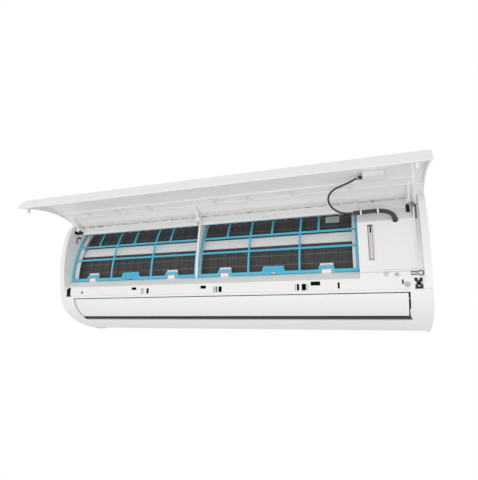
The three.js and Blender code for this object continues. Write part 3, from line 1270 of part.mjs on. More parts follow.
function linkGeometry() {
  const span = VANE_PITCH * (VANES_IN_GROUP - 1);
  const bar = new THREE.BoxGeometry(span + 16, 7, 2 * LINK_HALF);
  bar.translate(span / 2, VANE_ARM - 2, LINK_LEVEL);
  const notches = Array.from({ length: VANES_IN_GROUP }, (_, i) => {
    const notch = new THREE.BoxGeometry(2 * (STEM_RADIUS + 0.4), 10, 4);
    notch.translate(i * VANE_PITCH, VANE_ARM + 1.6, LINK_LEVEL);
    return solid(notch);
  });
  return cut(solid(bar), ...notches);
}

// ---------------------------------------------------------------- panel
const PANEL_TIP = [LOWER_DEPTH + 2.6, LIP_TOP + 0.8];
const PANEL_CORNER = [208.2, 103.4];
const PANEL_TOP = [177, 259.2];
const PANEL_CURVE = [PANEL_CORNER, [211.5, 150], [210, 215], PANEL_TOP];
const panelLine = [PANEL_TIP, ...curvePoints(...PANEL_CURVE, 11)];

function panelInnerDepth(height) {
  const line = offsetLine(panelLine, PANEL_WALL).slice(1);
  const next = line.findIndex((point) => point[1] >= height);
  const [d0, h0] = line[Math.max(next - 1, 0)];
  const [d1, h1] = line[Math.max(next, 1)];
  return d0 + (d1 - d0) * (height - h0) / (h1 - h0);
}

const PANEL_HALF = HALF_WIDTH + PANEL_OVERHANG;

function panelSideWall(side) {
  const heights = [92, 105, 120, 140, 160, 180, 200, 215, 228, 238, 246, 252];
  const seat = heights.map((height) => [profileDepth(height) + PANEL_SEAT, height]);
  const outer = panelLine.map(([d, h]) => [d - 0.4, h]);
  const points = [[PANEL_TIP[0] + 2, PANEL_TIP[1] + 2.4], ...outer.slice(1), ...seat.reverse()];
  return slab(points, side < 0 ? -PANEL_HALF : PANEL_HALF - PANEL_WALL,
    side < 0 ? -PANEL_HALF + PANEL_WALL : PANEL_HALF);
}

function panelArm(x) {
  const foot = [
    [panelInnerDepth(250) + 0.8, 250],
    [panelInnerDepth(240) + 0.8, 240],
    [panelInnerDepth(228) + 0.8, 228],
  ];
  const arm = slab([
    [HINGE_DEPTH - 1, HINGE_HEIGHT + HINGE_EYE_RADIUS - 0.6],
    [HINGE_DEPTH + 4, HINGE_HEIGHT + HINGE_EYE_RADIUS - 1.4],
    ...foot,
    [panelInnerDepth(228) - 6, 230],
    [HINGE_DEPTH + 4, HINGE_HEIGHT - HINGE_EYE_RADIUS + 1.4],
    [HINGE_DEPTH - 1, HINGE_HEIGHT - HINGE_EYE_RADIUS + 0.6],
  ], x - ARM_THICKNESS / 2, x + ARM_THICKNESS / 2);
  const eye = axle(x - ARM_THICKNESS / 2, x + ARM_THICKNESS / 2, ...HINGE, HINGE_EYE_RADIUS, 20);
  const hole = axle(x - 10, x + 10, ...HINGE, HINGE_PIN_RADIUS + GAP, 16);
  return cut(join(arm, eye), hole);
}

function buildPanel() {
  const shell = sheet(panelLine, PANEL_WALL, -PANEL_HALF, PANEL_HALF);
  const walls = [panelSideWall(-1), panelSideWall(1)];
  const arms = [LEFT_ARM_X, CENTRE_ARM_X, RIGHT_ARM_X].map(panelArm);
  const rib = (height, tall) => slab([
    [panelInnerDepth(height) + 0.6, height],
    [panelInnerDepth(height + 2) + 0.6, height + 2],
    [panelInnerDepth(height + 2) - tall, height + 2],
    [panelInnerDepth(height) - tall, height],
  ], -PANEL_HALF + 1, PANEL_HALF - 1);
  const doubleRibs = [-345, -260, -170, 0, 75, 170, 290].flatMap((x) => [x - 4, x + 4]).map((x) => slab([
    [panelInnerDepth(212) + 0.6, 212],
    [panelInnerDepth(232) + 0.6, 232],
    [panelInnerDepth(232) - 3, 232],
    [panelInnerDepth(212) - 3, 212],
  ], x - 0.8, x + 0.8));
  const pins = [latchPin(-1), latchPin(1)].map((pin) => pin.intersect(slab([
    [170, 80], ...panelLine.slice(0, 4).map(([d, h]) => [d - 1, h]), [170, 120],
  ], -PANEL_HALF, PANEL_HALF)));
  return join(shell, ...walls, ...arms, ...pins, rib(210, 3), rib(232, 2), ...doubleRibs);
}

function latchPin(side) {
  const x = side * SOCKET_X;
  const root = 196;
  const shape = new THREE.Shape([
    new THREE.Vector2(x - 6, -root),
    new THREE.Vector2(x + 6, -root),
    new THREE.Vector2(x + 2.6, -root + 12),
    new THREE.Vector2(x + 2.6, -LOWER_DEPTH + 6),
    new THREE.Vector2(x + 1.4, -LOWER_DEPTH + 8),
    new THREE.Vector2(x - 1.4, -LOWER_DEPTH + 8),
    new THREE.Vector2(x - 2.6, -LOWER_DEPTH + 6),
    new THREE.Vector2(x - 2.6, -root + 12),
  ]);
  const geometry = new THREE.ExtrudeGeometry(shape, { depth: 7, bevelEnabled: false });
  geometry.translate(0, 0, SOCKET_HEIGHT - 3.5 - MID_HEIGHT);
  return solid(geometry);
}

// The open stay's tip stands between the catch's cheeks, against its base.
function buildStayCatch() {
  const floorDepth = (height) => panelInnerDepth(height) - GAP;
  const x = STAY_X - STAY_LENGTH * Math.cos(rad(STAY_OPEN_DEG)) * Math.sin(rad(STAY_LEAN_DEG));
  const half = STAY_THICKNESS / 2 + 1.5;
  const layer = (from, to, near, far, xFrom, xTo) => slab([
    [floorDepth(from) - near, from], [floorDepth(to) - near, to], [floorDepth(to) - far, to],
    [floorDepth(from) - far, from],
  ], xFrom, xTo);
  return join(
    layer(112, 138, 0, CATCH_BASE, x - half - 2, x + half + 2),
    layer(114, 136, CATCH_BASE - 0.5, CATCH_BASE + 4.4, x - half - 2, x - half),
    layer(114, 136, CATCH_BASE - 0.5, CATCH_BASE + 4.4, x + half, x + half + 2),
  );
}

const CATCH_BASE = 3.5;
const DISPLAY_WIDTH = 38;
const DISPLAY_LEFT = SERVICE_LEFT + 17.5;
const DISPLAY_RIGHT = DISPLAY_LEFT + DISPLAY_WIDTH;

function buildDisplayBox() {
  const front = (height) => panelInnerDepth(height) - GAP;
  return slab([
    [front(170), 170], [front(184), 184], [front(198), 198], [front(198) - 8, 198], [front(184) - 10, 186],
    [front(170) - 10, 170],
  ], DISPLAY_LEFT, DISPLAY_RIGHT);
}

function buildCablePlug() {
  const depth = panelInnerDepth(184) - 6;
  return block(DISPLAY_LEFT - GAP - 8, DISPLAY_LEFT - GAP, depth - 2.5, depth + 2.5, 180, 188);
}

// ---------------------------------------------------------------- hinge pins and stay
function buildHingePins() {
  const span = ARM_THICKNESS / 2 + 2.7;
  return {
    hinge_pin_left: axle(LEFT_BORDER_INNER - WALL + 0.4, LEFT_ARM_X + span, ...HINGE, HINGE_PIN_RADIUS),
    hinge_pin_centre: axle(CENTRE_ARM_X - span, CENTRE_ARM_X + span, ...HINGE, HINGE_PIN_RADIUS),
    hinge_pin_right: axle(RIGHT_ARM_X - span, SERVICE_RIGHT - 0.4, ...HINGE, HINGE_PIN_RADIUS),
  };
}

// The stay is drawn lying along +depth from its pivot, then turned up.
function buildStay() {
  const half = STAY_THICKNESS / 2;
  const tall = STAY_HALF_HEIGHT;
  const shape = [
    [-3.4, -2.6], [0, -3.8], [6, -3.2], [40, -tall], [70, -tall], [STAY_LENGTH - 12, -2.2],
    [STAY_LENGTH - 4, -2.4], [STAY_LENGTH, 0], [STAY_LENGTH - 4, 2.4], [STAY_LENGTH - 12, 2.2], [70, tall],
    [40, tall], [6, 3.2], [0, 3.8], [-3.4, 2.6],
  ];
  const points = shape.map(([u, v]) => new THREE.Vector2(u, v));
  const bar = new THREE.ExtrudeGeometry(new THREE.Shape(points), {
    depth: STAY_THICKNESS, bevelEnabled: false,
  });
  bar.applyMatrix4(new THREE.Matrix4().makeBasis(
    new THREE.Vector3(0, -1, 0),
    new THREE.Vector3(0, 0, 1),
    new THREE.Vector3(-1, 0, 0),
  ).setPosition(half, 0, 0));
  const pinLength = RIGHT_BORDER_INNER - SERVICE_RIGHT + 2.4;
  const trunnion = new THREE.CylinderGeometry(STAY_PIN_RADIUS, STAY_PIN_RADIUS, pinLength, 12);
  trunnion.rotateZ(Math.PI / 2);
  trunnion.translate((RIGHT_BORDER_INNER + SERVICE_RIGHT) / 2 - STAY_X, 0, 0);
  return join(solid(bar), solid(trunnion));
}

// ---------------------------------------------------------------- display cable
const SHEATH_RADIUS = 4.2;
const CABLE_RADIUS = 2;
// Route points are (x, depth, height).
const SHEATH_ROUTE = [
  [367, 168, 211], [367, 174.5, 214.5], [366.4, 180, 219.5], [362, 181, 226.5], [353, 178.8, 232.5],
  [340, 176, 236], [322, 175, 236.5], [305, 175, 235.5], [290, 176, 235.5],
];
const LOOP_ROUTE = [
  [289, 176.2, 235.5], [276, 177.5, 236], [262, 181, 239.5], [251, 190, 247],
  [246.5, 201, 255], [247, 211, 262],
  [253, 220, 269], [263, 226.5, 274], [276, 230.5, 277.5], [289, 233.8, 281], [299, 235.6, 285],
  [304.2, 235.7, 286.8],
];

function tubeAlong(route, radius, steps, sides) {
  const points = route.map(([x, depth, height]) => new THREE.Vector3(x, -depth, height - MID_HEIGHT));
  const curve = new THREE.CatmullRomCurve3(points, false, 'centripetal');
  const section = new THREE.Shape();
  section.absarc(0, 0, radius, 0, 2 * Math.PI);
  return solid(new THREE.ExtrudeGeometry(section, {
    steps, extrudePath: curve, curveSegments: sides / 2, bevelEnabled: false,
  }));
}

// ---------------------------------------------------------------- sensor, pipes
function buildSensorBracket() {
  const [start, end] = UPPER_SECTION;
  const [u, v] = unit(end[0] - start[0], end[1] - start[1]);
  const reach = COIL_THICKNESS / 2 + GAP;
  const at = (along, off) => [
    start[0] + u * along + v * (reach + off),
    start[1] + v * along - u * (reach + off),
  ];
  const outline = [at(42, 0), at(42, 4), at(50, 4), at(52, 2), at(58, 2), at(58, 0)];
  return slab(outline, COIL_RIGHT - 62, COIL_RIGHT - 33);
}

// A pipe leaves the coil's end plate, then turns down beside the right border.
function pipeRoute(fromCoil, fromBorder) {
  return [
    ...fromCoil.map(([out, depth, height]) => [COIL_RIGHT + out, depth, height]),
    ...fromBorder.map(([inward, depth, height]) => [SERVICE_RIGHT - inward, depth, height]),
  ];
}

const GAS_ROUTE = pipeRoute([[2, 112, 214], [14, 112, 215]], [
  [57, 108, 213], [36, 100, 204], [28, 92, 180], [27, 84, 130],
  [27, 72, 84], [27, 52, 56], [27, 28, 46], [27, 8, 44],
]);
const LIQUID_ROUTE = pipeRoute([[2, 99, 236], [16, 99, 237]], [
  [52, 96, 234], [26, 90, 222], [16, 84, 196], [14, 76, 140],
  [14, 64, 86], [14, 44, 58], [14, 24, 50], [14, 8, 49],
]);

// ---------------------------------------------------------------- assembly
function turnedGroup(depth, height, degrees) {
  const group = new THREE.Group();
  group.position.set(0, -depth, height - MID_HEIGHT);
  group.rotation.x = rad(degrees);
  const inner = new THREE.Group();
  inner.position.set(0, depth, MID_HEIGHT - height);
  group.add(inner);
  unitGroup.add(group);
  return inner;
}

function assembleHousing() {
  addPart('wall_plate', buildWallPlate(), steel());
  addPart('rear_chassis', buildChassis(), whitePlastic());
  addPart('front_casing', buildCasing(), whitePlastic());
  addPart('top_grille', buildTopGrille(), whitePlastic());
  addPart('drain_pan', buildDrainPan(), whitePlastic());
  addPart('latch_socket_left', buildLatchSocket(-1), darkPlastic());
  addPart('latch_socket_right', buildLatchSocket(1), darkPlastic());
  addPart('stay_clip', buildStayClip(), steel());
  for (const [name, pin] of Object.entries(buildHingePins())) {
    addPart(name, pin, whitePlastic());
  }
}

function assembleCoil() {
  addPart('coil_lower', coilSection(LOWER_SECTION, 28), finAluminium());
  addPart('coil_upper', coilSection(UPPER_SECTION, 28), finAluminium());
  addPart('coil_rear', coilSection(REAR_SECTION, 14), finAluminium());
  addPart('coil_bar', coilBar(), whitePlastic());
  addPart('coil_bends', join(coilEndPlate(COIL_LEFT - GAP - 1.2), returnBends()), copper());
  addPart('coil_plate_right', coilEndPlate(COIL_RIGHT + GAP), steel());
  addPart('sensor_bracket', buildSensorBracket(), greyPlastic());
}

function assembleFan() {
  addPart('fan_wheel', buildFanWheel(), darkPlastic());
  addPart('fan_bearing', buildFanBearing(), rubber());
  addPart('fan_motor', buildFanMotor(), steel());
  addPart('motor_bracket', buildMotorBracket(), whitePlastic());
  addPart('motor_clamp', buildMotorClamp(), steel());
}

function assembleElectrics() {
  addPart('electric_box', buildElectricBox(), greyPlastic());
  addPart('circuit_board', buildCircuitBoard(), finish('#2f6b45', 0.6));
  addPart('terminal_block', buildTerminalBlock(), darkPlastic());
  addPart('service_cover', buildServiceCover(), whitePlastic());
  addPart('casing_screw', screw(RECESS_SCREW_X, RECESS_SCREW_HEIGHT, LOWER_DEPTH - 1.2), steel());
  addPart('emergency_button', buildEmergencyButton(), greyPlastic());
}

function assembleFilters() {
  const lefts = { left: FILTER_LEFT, right: FILTER_LEFT + FILTER_WIDTH + FILTER_GAP };
  for (const [side, left] of Object.entries(lefts)) {
    addPart(`filter_frame_${side}`, filterFrame(left), filterBlue());
    addPart(`filter_net_${side}`, filterNet(left), netGrey());
  }
}

function assembleLouver() {
  addPart('louver', buildLouver(), whitePlastic());
  addPart('louver_bearing', buildLouverBearing(), whitePlastic());
  addPart('louver_motor', buildLouverMotor(), greyPlastic());
}

function assembleVanes() {
  const frame = new THREE.Group();
  frame.position.set(0, -VANE_PIVOT_DEPTH, VANE_PIVOT_HEIGHT - MID_HEIGHT);
  frame.rotation.x = rad(VANE_TILT_DEG);
  unitGroup.add(frame);
  for (const [side, start] of Object.entries(VANE_GROUPS)) {
    for (let i = 0; i < VANES_IN_GROUP; i += 1) {
      const vane = addPart(`vane_${side}_${i + 1}`, vaneGeometry(), whitePlastic(), frame);
      vane.position.x = start + i * VANE_PITCH;
    }
    const link = addPart(`vane_link_${side}`, linkGeometry(), whitePlastic(), frame);
    link.position.x = start;
  }
}

function assemblePanel() {
  const panel = turnedGroup(HINGE_DEPTH, HINGE_HEIGHT, -PANEL_OPEN_DEG);
  addPart('front_panel', buildPanel(), whitePlastic(), panel);
  addPart('stay_catch', buildStayCatch(), whitePlastic(), panel);
  addPart('display_box', buildDisplayBox(), greyPlastic(), panel);
  addPart('cable_plug', buildCablePlug(), darkPlastic(), panel);
  const pivot = new THREE.Group();
  pivot.position.set(STAY_X, -STAY_PIVOT_DEPTH, STAY_PIVOT_HEIGHT - MID_HEIGHT);
  pivot.rotation.z = -rad(STAY_LEAN_DEG);
  unitGroup.add(pivot);
  const stay = addPart('panel_stay', buildStay(), whitePlastic(), pivot);
  stay.rotation.x = -rad(STAY_OPEN_DEG);
}

function assemblePipes() {
  addPart('gas_pipe', tubeAlong(GAS_ROUTE, 4.8, 15, 8), copper());
  addPart('liquid_pipe', tubeAlong(LIQUID_ROUTE, 3.2, 15, 8), copper());
}

function assembleCable() {
  addPart('cable_sheath', tubeAlong(SHEATH_ROUTE, SHEATH_RADIUS, 15, 10), greyPlastic());
  addPart('cable_loop', tubeAlong(LOOP_ROUTE, CABLE_RADIUS, 30, 8), darkPlastic());
}

assembleHousing();
assembleCoil();
assembleFan();
assembleElectrics();
assembleFilters();
assembleLouver();
assembleVanes();
assemblePanel();
assembleCable();
assemblePipes();

export default unitGroup;
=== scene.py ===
# %% [markdown]
# # A wall-hung mini split indoor unit, front panel propped open
#
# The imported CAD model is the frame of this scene, so every piece already has its shape and place. What
# is left for Blender is the surface: finishes first, then the few pieces that need finer forms (the
# filter nets and the display cable), then light and camera. Lengths are in metres unless a name or a
# comment says millimetres.

import json
import math

import bpy
from mathutils import Matrix, Vector


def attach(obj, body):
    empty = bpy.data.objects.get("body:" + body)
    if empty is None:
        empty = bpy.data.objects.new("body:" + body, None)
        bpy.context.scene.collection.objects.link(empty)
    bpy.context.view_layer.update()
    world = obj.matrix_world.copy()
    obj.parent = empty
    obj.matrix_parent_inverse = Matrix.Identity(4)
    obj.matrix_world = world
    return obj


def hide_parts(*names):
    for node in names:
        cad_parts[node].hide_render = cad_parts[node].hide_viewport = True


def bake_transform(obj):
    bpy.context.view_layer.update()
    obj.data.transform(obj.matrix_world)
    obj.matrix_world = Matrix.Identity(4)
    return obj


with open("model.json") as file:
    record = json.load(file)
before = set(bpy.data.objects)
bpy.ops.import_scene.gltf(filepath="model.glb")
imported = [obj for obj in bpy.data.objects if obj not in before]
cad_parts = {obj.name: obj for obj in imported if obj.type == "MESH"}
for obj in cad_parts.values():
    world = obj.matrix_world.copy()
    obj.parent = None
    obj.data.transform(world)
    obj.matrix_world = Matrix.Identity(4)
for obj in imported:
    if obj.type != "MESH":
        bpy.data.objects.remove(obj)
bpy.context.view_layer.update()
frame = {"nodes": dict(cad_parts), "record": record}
NODES = frame["nodes"]

# %% [markdown]
# ## Places
# A wall unit is easiest to think of from its side: how far out from the wall, how high above its
# underside. The frame instead puts its origin on the wall plate, at mid width and mid height, with -Y
# towards the room. Every place below is written the first way, in millimetres, and `spot` turns it into
# the frame's coordinates.

# %% Places
BODY_HEIGHT = 289
FILTER_CENTRE = (-66.0, 120.3)
FILTER_RADIUS = 230.0
FILTER_WIDTH = 347.0
FILTER_LEFTS = {"left": -408.0, "right": -53.0}


def spot(x, depth, height):
    return Vector((x / 1000, -depth / 1000, (height - BODY_HEIGHT / 2) / 1000))


filter_bottom = spot(0, FILTER_CENTRE[0] + FILTER_RADIUS, FILTER_CENTRE[1])
print("filter bottom edge:", [round(v, 3) for v in filter_bottom])

# %% [markdown]
# ## Materials
# Nearly all that shows is moulded plastic, so one short function can make most finishes. A node tree
# gets long when each node takes four lines, so one helper adds a node with its settings and links.
# Colours are written as the sRGB hex values that a colour picker gives, and one function makes them
# linear, because a shader works with linear light.

# %% Material helpers


def linear(code):
    """An sRGB hex colour as linear RGBA."""
    values = [int(code[i:i + 2], 16) / 255 for i in (1, 3, 5)]
    return [v / 12.92 if v <= 0.04045 else ((v + 0.055) / 1.055) ** 2.4 for v in values] + [1.0]


def add_node(tree, kind, settings=None, links=None):
    """Adds a node; settings go to sockets by name or to attributes, links maps a socket to a source."""
    node = tree.nodes.new(kind)
    for name, value in (settings or {}).items():
        if isinstance(name, int) or name in node.inputs:
            node.inputs[name].default_value = value
        else:
            setattr(node, name, value)
    for name, source in (links or {}).items():
        tree.links.new(source, node.inputs[name])
    return node


def new_material(name, settings):
    """A material with one Principled shader; returns it, its tree and the shader."""
    material = bpy.data.materials.new(name)
    material.use_nodes = True
    tree = material.node_tree
    shader = tree.nodes["Principled BSDF"]
    for key, value in settings.items():
        shader.inputs[key].default_value = value
    return material, tree, shader


def object_position(tree):
    return add_node(tree, "ShaderNodeTexCoord").outputs["Object"]


def add_grain(tree, shader, size_mm, height_mm):
    """A moulded grain: low bumps of a size and height in millimetres."""
    noise = add_node(
        tree, "ShaderNodeTexNoise",
        {"Scale": 1000 / size_mm, "Detail": 2.0},
        {"Vector": object_position(tree)},
    )
    bump = add_node(
        tree, "ShaderNodeBump",
        {"Strength": 1.0, "Distance": height_mm / 1000},
        {"Height": noise.outputs["Fac"]},
    )
    tree.links.new(bump.outputs["Normal"], shader.inputs["Normal"])


def plastic(name, colour, roughness, grain=None):
    """One plain plastic; grain is its size and height in millimetres."""
    material, tree, shader = new_material(name, {"Base Color": linear(colour), "Roughness": roughness})
    if grain:
        add_grain(tree, shader, *grain)
    return material


# A Mix node's colour sockets are reached by number, because its other sockets share their names.
MIX_A, MIX_B, MIX_RESULT = 6, 7, 2
print("material helpers ready, white in linear light:", [round(v, 3) for v in linear("#efefef")])

# %% [markdown]
# ## Plastics and metals
# The shell is injection-moulded ABS. The inner mouldings are the same plastic with less polish. The
# filters' frames are polypropylene, which lets a little light into it, so it has some subsurface
# scattering. The wall plate is zinc-coated steel and the pipes are copper: both are fully metallic and
# keep the default IOR. A moulded grain is a fraction of a millimetre across, too fine to show, so it is
# drawn as low noise about a millimetre across, which softens the reflections in the same way.

# %% Plastics and metals
# Moulded ABS from a polished tool: a broad, soft sheen. Inside the tool is plainer, so the sheen is duller.
white_abs = plastic("white_abs", "#efefef", 0.32, (1.2, 0.004))
white_abs_matt = plastic("white_abs_matt", "#ececec", 0.42, (0.9, 0.006))
# Painted shade: a near-black matt finish for the inside of the duct, so it reads as depth and not as a
# wall.
painted_duct_shade = plastic("painted_duct_shade", "#1c1d1f", 0.7)
# Plastic-coated wire and PVC cable: dark, with a narrow highlight along their length.
coated_wire = plastic("coated_wire", "#1e1f20", 0.45)
black_pvc = plastic("black_pvc", "#3c3d3f", 0.45)
# Moulded fittings with a fine spark-eroded grain, which breaks up their highlights.
grey_abs = plastic("grey_abs", "#97999b", 0.5, (0.8, 0.01))
pale_grey_abs = plastic("pale_grey_abs", "#c9cbcb", 0.5)
black_abs = plastic("black_abs", "#17181a", 0.5, (0.8, 0.01))
# Moulded rubber hardly shines. The circuit board is glass fibre under green lacquer.
moulded_rubber = plastic("moulded_rubber", "#242426", 0.8, (0.5, 0.01))
lacquered_board = plastic("lacquered_board", "#2e6a44", 0.45)

# Moulded polypropylene: light enters it a little, so thin ribs look lit from within.
blue_polypropylene, _, _ = new_material("blue_polypropylene", {
    "Base Color": linear("#50bcdb"), "Roughness": 0.3, "Subsurface Weight": 0.15,
    "Subsurface Scale": 0.002, "Subsurface Radius": (0.4, 1.0, 1.2),
})

# Zinc-coated sheet has a soft spangle, and drawn copper tube a clear warm shine.
zinc_coated_steel, tree, shader = new_material("zinc_coated_steel", {
    "Base Color": linear("#b9bdc0"), "Metallic": 1.0, "Roughness": 0.35,
})
add_grain(tree, shader, 2.0, 0.02)
drawn_copper, _, _ = new_material("drawn_copper", {
    "Base Color": linear("#c07a52"), "Metallic": 1.0, "Roughness": 0.3,
})
print("plain finishes:", len(bpy.data.materials))

# %% [markdown]
# ## Coil fins
# A coil is a stack of thin upright aluminium plates on rows of copper tubes. Modelling each plate would
# take hundreds of faces behind a net, so the material repeats painted shade for the gap between plates
# along X and a lighter line at each tube row. The fins are drawn coarser than the real ones (about 1.5 mm
# apart), so that they show in the picture. What shows is mostly the painted shade between the plates, so
# the surface is only partly metallic.

# %% Coil fins
FIN_PITCH_MM = 2.8
TUBE_PITCH_MM = 20.5
FIRST_ROW = 0.14  # shifts the rows up, as a share of their pitch
aluminium_fins, tree, shader = new_material("aluminium_fins", {"Metallic": 0.25, "Roughness": 0.6})
across = add_node(tree, "ShaderNodeSeparateXYZ", {}, {"Vector": object_position(tree)})
turns = add_node(
    tree, "ShaderNodeMath", {"operation": "MULTIPLY", 1: 1000 / FIN_PITCH_MM}, {0: across.outputs["X"]},
)
share = add_node(tree, "ShaderNodeMath", {"operation": "FRACT"}, {0: turns.outputs[0]})
# Painted shade: the ramp's dark stop is the shade in the gap between two plates.
fin_gap_shade_ramp = add_node(tree, "ShaderNodeValToRGB", {}, {"Fac": share.outputs[0]})
fin_gap_shade_ramp.color_ramp.elements[0].position = 0.35
fin_gap_shade_ramp.color_ramp.elements[0].color = linear("#484848")
fin_gap_shade_ramp.color_ramp.elements[1].position = 0.5
fin_gap_shade_ramp.color_ramp.elements[1].color = linear("#262626")
rows = add_node(
    tree, "ShaderNodeMath", {"operation": "MULTIPLY_ADD", 1: 1000 / TUBE_PITCH_MM, 2: FIRST_ROW},
    {0: across.outputs["Z"]},
)
row_share = add_node(tree, "ShaderNodeMath", {"operation": "FRACT"}, {0: rows.outputs[0]})
row_ramp = add_node(tree, "ShaderNodeValToRGB", {}, {"Fac": row_share.outputs[0]})
row_ramp.color_ramp.elements[0].position = 0.0
row_ramp.color_ramp.elements[0].color = linear("#9a9a9a")
row_ramp.color_ramp.elements[1].position = 0.1
row_ramp.color_ramp.elements[1].color = linear("#000000")
brighter = add_node(
    tree, "ShaderNodeMix", {"data_type": "RGBA", "blend_type": "ADD", "Factor": 0.45},
)
tree.links.new(fin_gap_shade_ramp.outputs["Color"], brighter.inputs[MIX_A])
tree.links.new(row_ramp.outputs["Color"], brighter.inputs[MIX_B])
tree.links.new(brighter.outputs[MIX_RESULT], shader.inputs["Base Color"])
print("fin pitch:", FIN_PITCH_MM, "mm, tube rows:", TUBE_PITCH_MM, "mm")

# %% [markdown]
# ## Net weave
# The filter net is woven from very fine plastic thread. Threads crossing at right angles are two striped
# patterns, so the material draws both from the net's own UV map and takes the larger: where it is 1
# there is thread, and elsewhere the net is clear. The weave is drawn coarser than the real one (about
# 0.5 mm), so that it shows.

# %% Net weave
NET_PITCH_MM = 1.5
NET_THREAD = 0.045  # the thread's share of the pitch
woven_net, tree, shader = new_material("woven_net", {"Base Color": linear("#8c8c8c"), "Roughness": 0.7})
net_map = add_node(tree, "ShaderNodeUVMap", {"uv_map": "millimetres"})
net_axes = add_node(tree, "ShaderNodeSeparateXYZ", {}, {"Vector": net_map.outputs["UV"]})
threads = []
for axis in ("X", "Y"):
    scaled = add_node(
        tree, "ShaderNodeMath", {"operation": "MULTIPLY", 1: 1 / NET_PITCH_MM}, {0: net_axes.outputs[axis]},
    )
    part_of_pitch = add_node(tree, "ShaderNodeMath", {"operation": "FRACT"}, {0: scaled.outputs[0]})
    threads.append(add_node(
        tree, "ShaderNodeMath", {"operation": "LESS_THAN", 1: NET_THREAD}, {0: part_of_pitch.outputs[0]},
    ))
either = add_node(
    tree, "ShaderNodeMath", {"operation": "MAXIMUM"}, {0: threads[0].outputs[0], 1: threads[1].outputs[0]},
)
tree.links.new(either.outputs[0], shader.inputs["Alpha"])
print("net pitch:", NET_PITCH_MM, "mm, thread", round(NET_PITCH_MM * NET_THREAD, 2), "mm")

# %% [markdown]
# ## Braided sleeve
# The cable runs in a braided polyester sleeve. Its strands cross at 45 degrees, so two waves turned each
# way are drawn on the sleeve's own UV map, which follows the bends, and the larger one is the strand that
# lies on top. Its colour is painted shade in the hollows between strands and a painted highlight on the
# strands' crowns. The strands are drawn coarser than real ones (under a millimetre), so that they show.

# %% Braided sleeve
WAVE_SCALE = 0.16  # a strand every 2 mm, because a wave texture repeats every 0.314 / scale
BRAID_TURN = 45
braided_sleeve, tree, shader = new_material("braided_sleeve", {"Roughness": 0.75})
sleeve_map = add_node(tree, "ShaderNodeUVMap", {"uv_map": "millimetres"})
waves = []
for turn in (math.radians(BRAID_TURN), math.radians(-BRAID_TURN)):
    turned = add_node(
        tree, "ShaderNodeMapping", {"Rotation": (0, 0, turn)}, {"Vector": sleeve_map.outputs["UV"]},
    )
    waves.append(add_node(
        tree, "ShaderNodeTexWave", {"Scale": WAVE_SCALE, "Distortion": 0.0},
        {"Vector": turned.outputs["Vector"]},
    ))
woven = add_node(
    tree, "ShaderNodeMath", {"operation": "MAXIMUM"},
    {0: waves[0].outputs["Fac"], 1: waves[1].outputs["Fac"]},
)
# Painted shade and highlight: dark where the weave is low, lighter on the strands' crowns.
weave_shade_and_highlight_ramp = add_node(tree, "ShaderNodeValToRGB", {}, {"Fac": woven.outputs[0]})
weave_shade_and_highlight_ramp.color_ramp.elements[0].position = 0.45
weave_shade_and_highlight_ramp.color_ramp.elements[0].color = linear("#1a1b1c")
weave_shade_and_highlight_ramp.color_ramp.elements[1].position = 0.9
weave_shade_and_highlight_ramp.color_ramp.elements[1].color = linear("#515355")
sleeve_bump = add_node(
    tree, "ShaderNodeBump", {"Strength": 0.6, "Distance": 0.0003}, {"Height": woven.outputs[0]},
)
tree.links.new(weave_shade_and_highlight_ramp.outputs["Color"], shader.inputs["Base Color"])
tree.links.new(sleeve_bump.outputs["Normal"], shader.inputs["Normal"])
print("sleeve weave at", BRAID_TURN, "degrees, strands every", round(0.1 * math.pi / WAVE_SCALE, 2), "mm")

# %% [markdown]
# ## Finishes on the CAD nodes
# Every CAD node gets the finish of its material slot, which the part's record names. A few are then
# painted apart: the display box and the stay's wire clip look different in the photograph, and the
# sensor's bracket and the cable's plug have their own plastics.

# %% Assign finishes
FINISHES = {
    "white_shell": white_abs,
    "white_inner": white_abs_matt,
    "grey_plastic": grey_abs,
    "black_plastic": black_abs,
    "filter_blue": blue_polypropylene,
    "net": woven_net,
    "fins": aluminium_fins,
    "zinc_steel": zinc_coated_steel,
    "copper": drawn_copper,
    "rubber": moulded_rubber,
    "board": lacquered_board,
    "sleeving": braided_sleeve,
}
slot_of = {entry["node"]: entry["material_slot"] for entry in frame["record"]["subparts"]}


def paint(obj, material):
    obj.data.materials.clear()
    obj.data.materials.append(material)


for name, obj in NODES.items():
    paint(obj, FINISHES[slot_of[name]])
paint(NODES["display_box"], white_abs_matt)
paint(NODES["sensor_bracket"], pale_grey_abs)
paint(NODES["stay_clip"], coated_wire)
paint(NODES["cable_plug"], black_pvc)
print("painted", len(NODES), "nodes")

# %% [markdown]
# ## Duct, button and screw
# Past the louver's edge the duct shows dark in the photograph, so its inside gets painted shade, a
# near-black matt finish. The chassis is one node that holds the duct and the wall side, so its faces are
# sorted by depth: all but those nearest the wall get the painted shade, the underside too, and the drain
# pan gets it as well. The button and the recess screw carry a dot and rings, too fine to model at their
# size, so a ramp on the distance from the middle draws them.

# %% The dark duct
# Painted shade: the duct's faces and the drain pan take the near-black finish in place of the shade deep in
# the duct.
WALL_SIDE_MM = 8  # the part nearer the wall than this stays white
chassis = NODES["rear_chassis"]
chassis.data.materials.append(painted_duct_shade)
darkened = 0
for polygon in chassis.data.polygons:
    depth = -1000 * polygon.center.y
    if depth > WALL_SIDE_MM:
        polygon.material_index = 1
        darkened += 1
paint(NODES["drain_pan"], painted_duct_shade)
print("dark duct faces:", darkened)

# %% Ringed faces


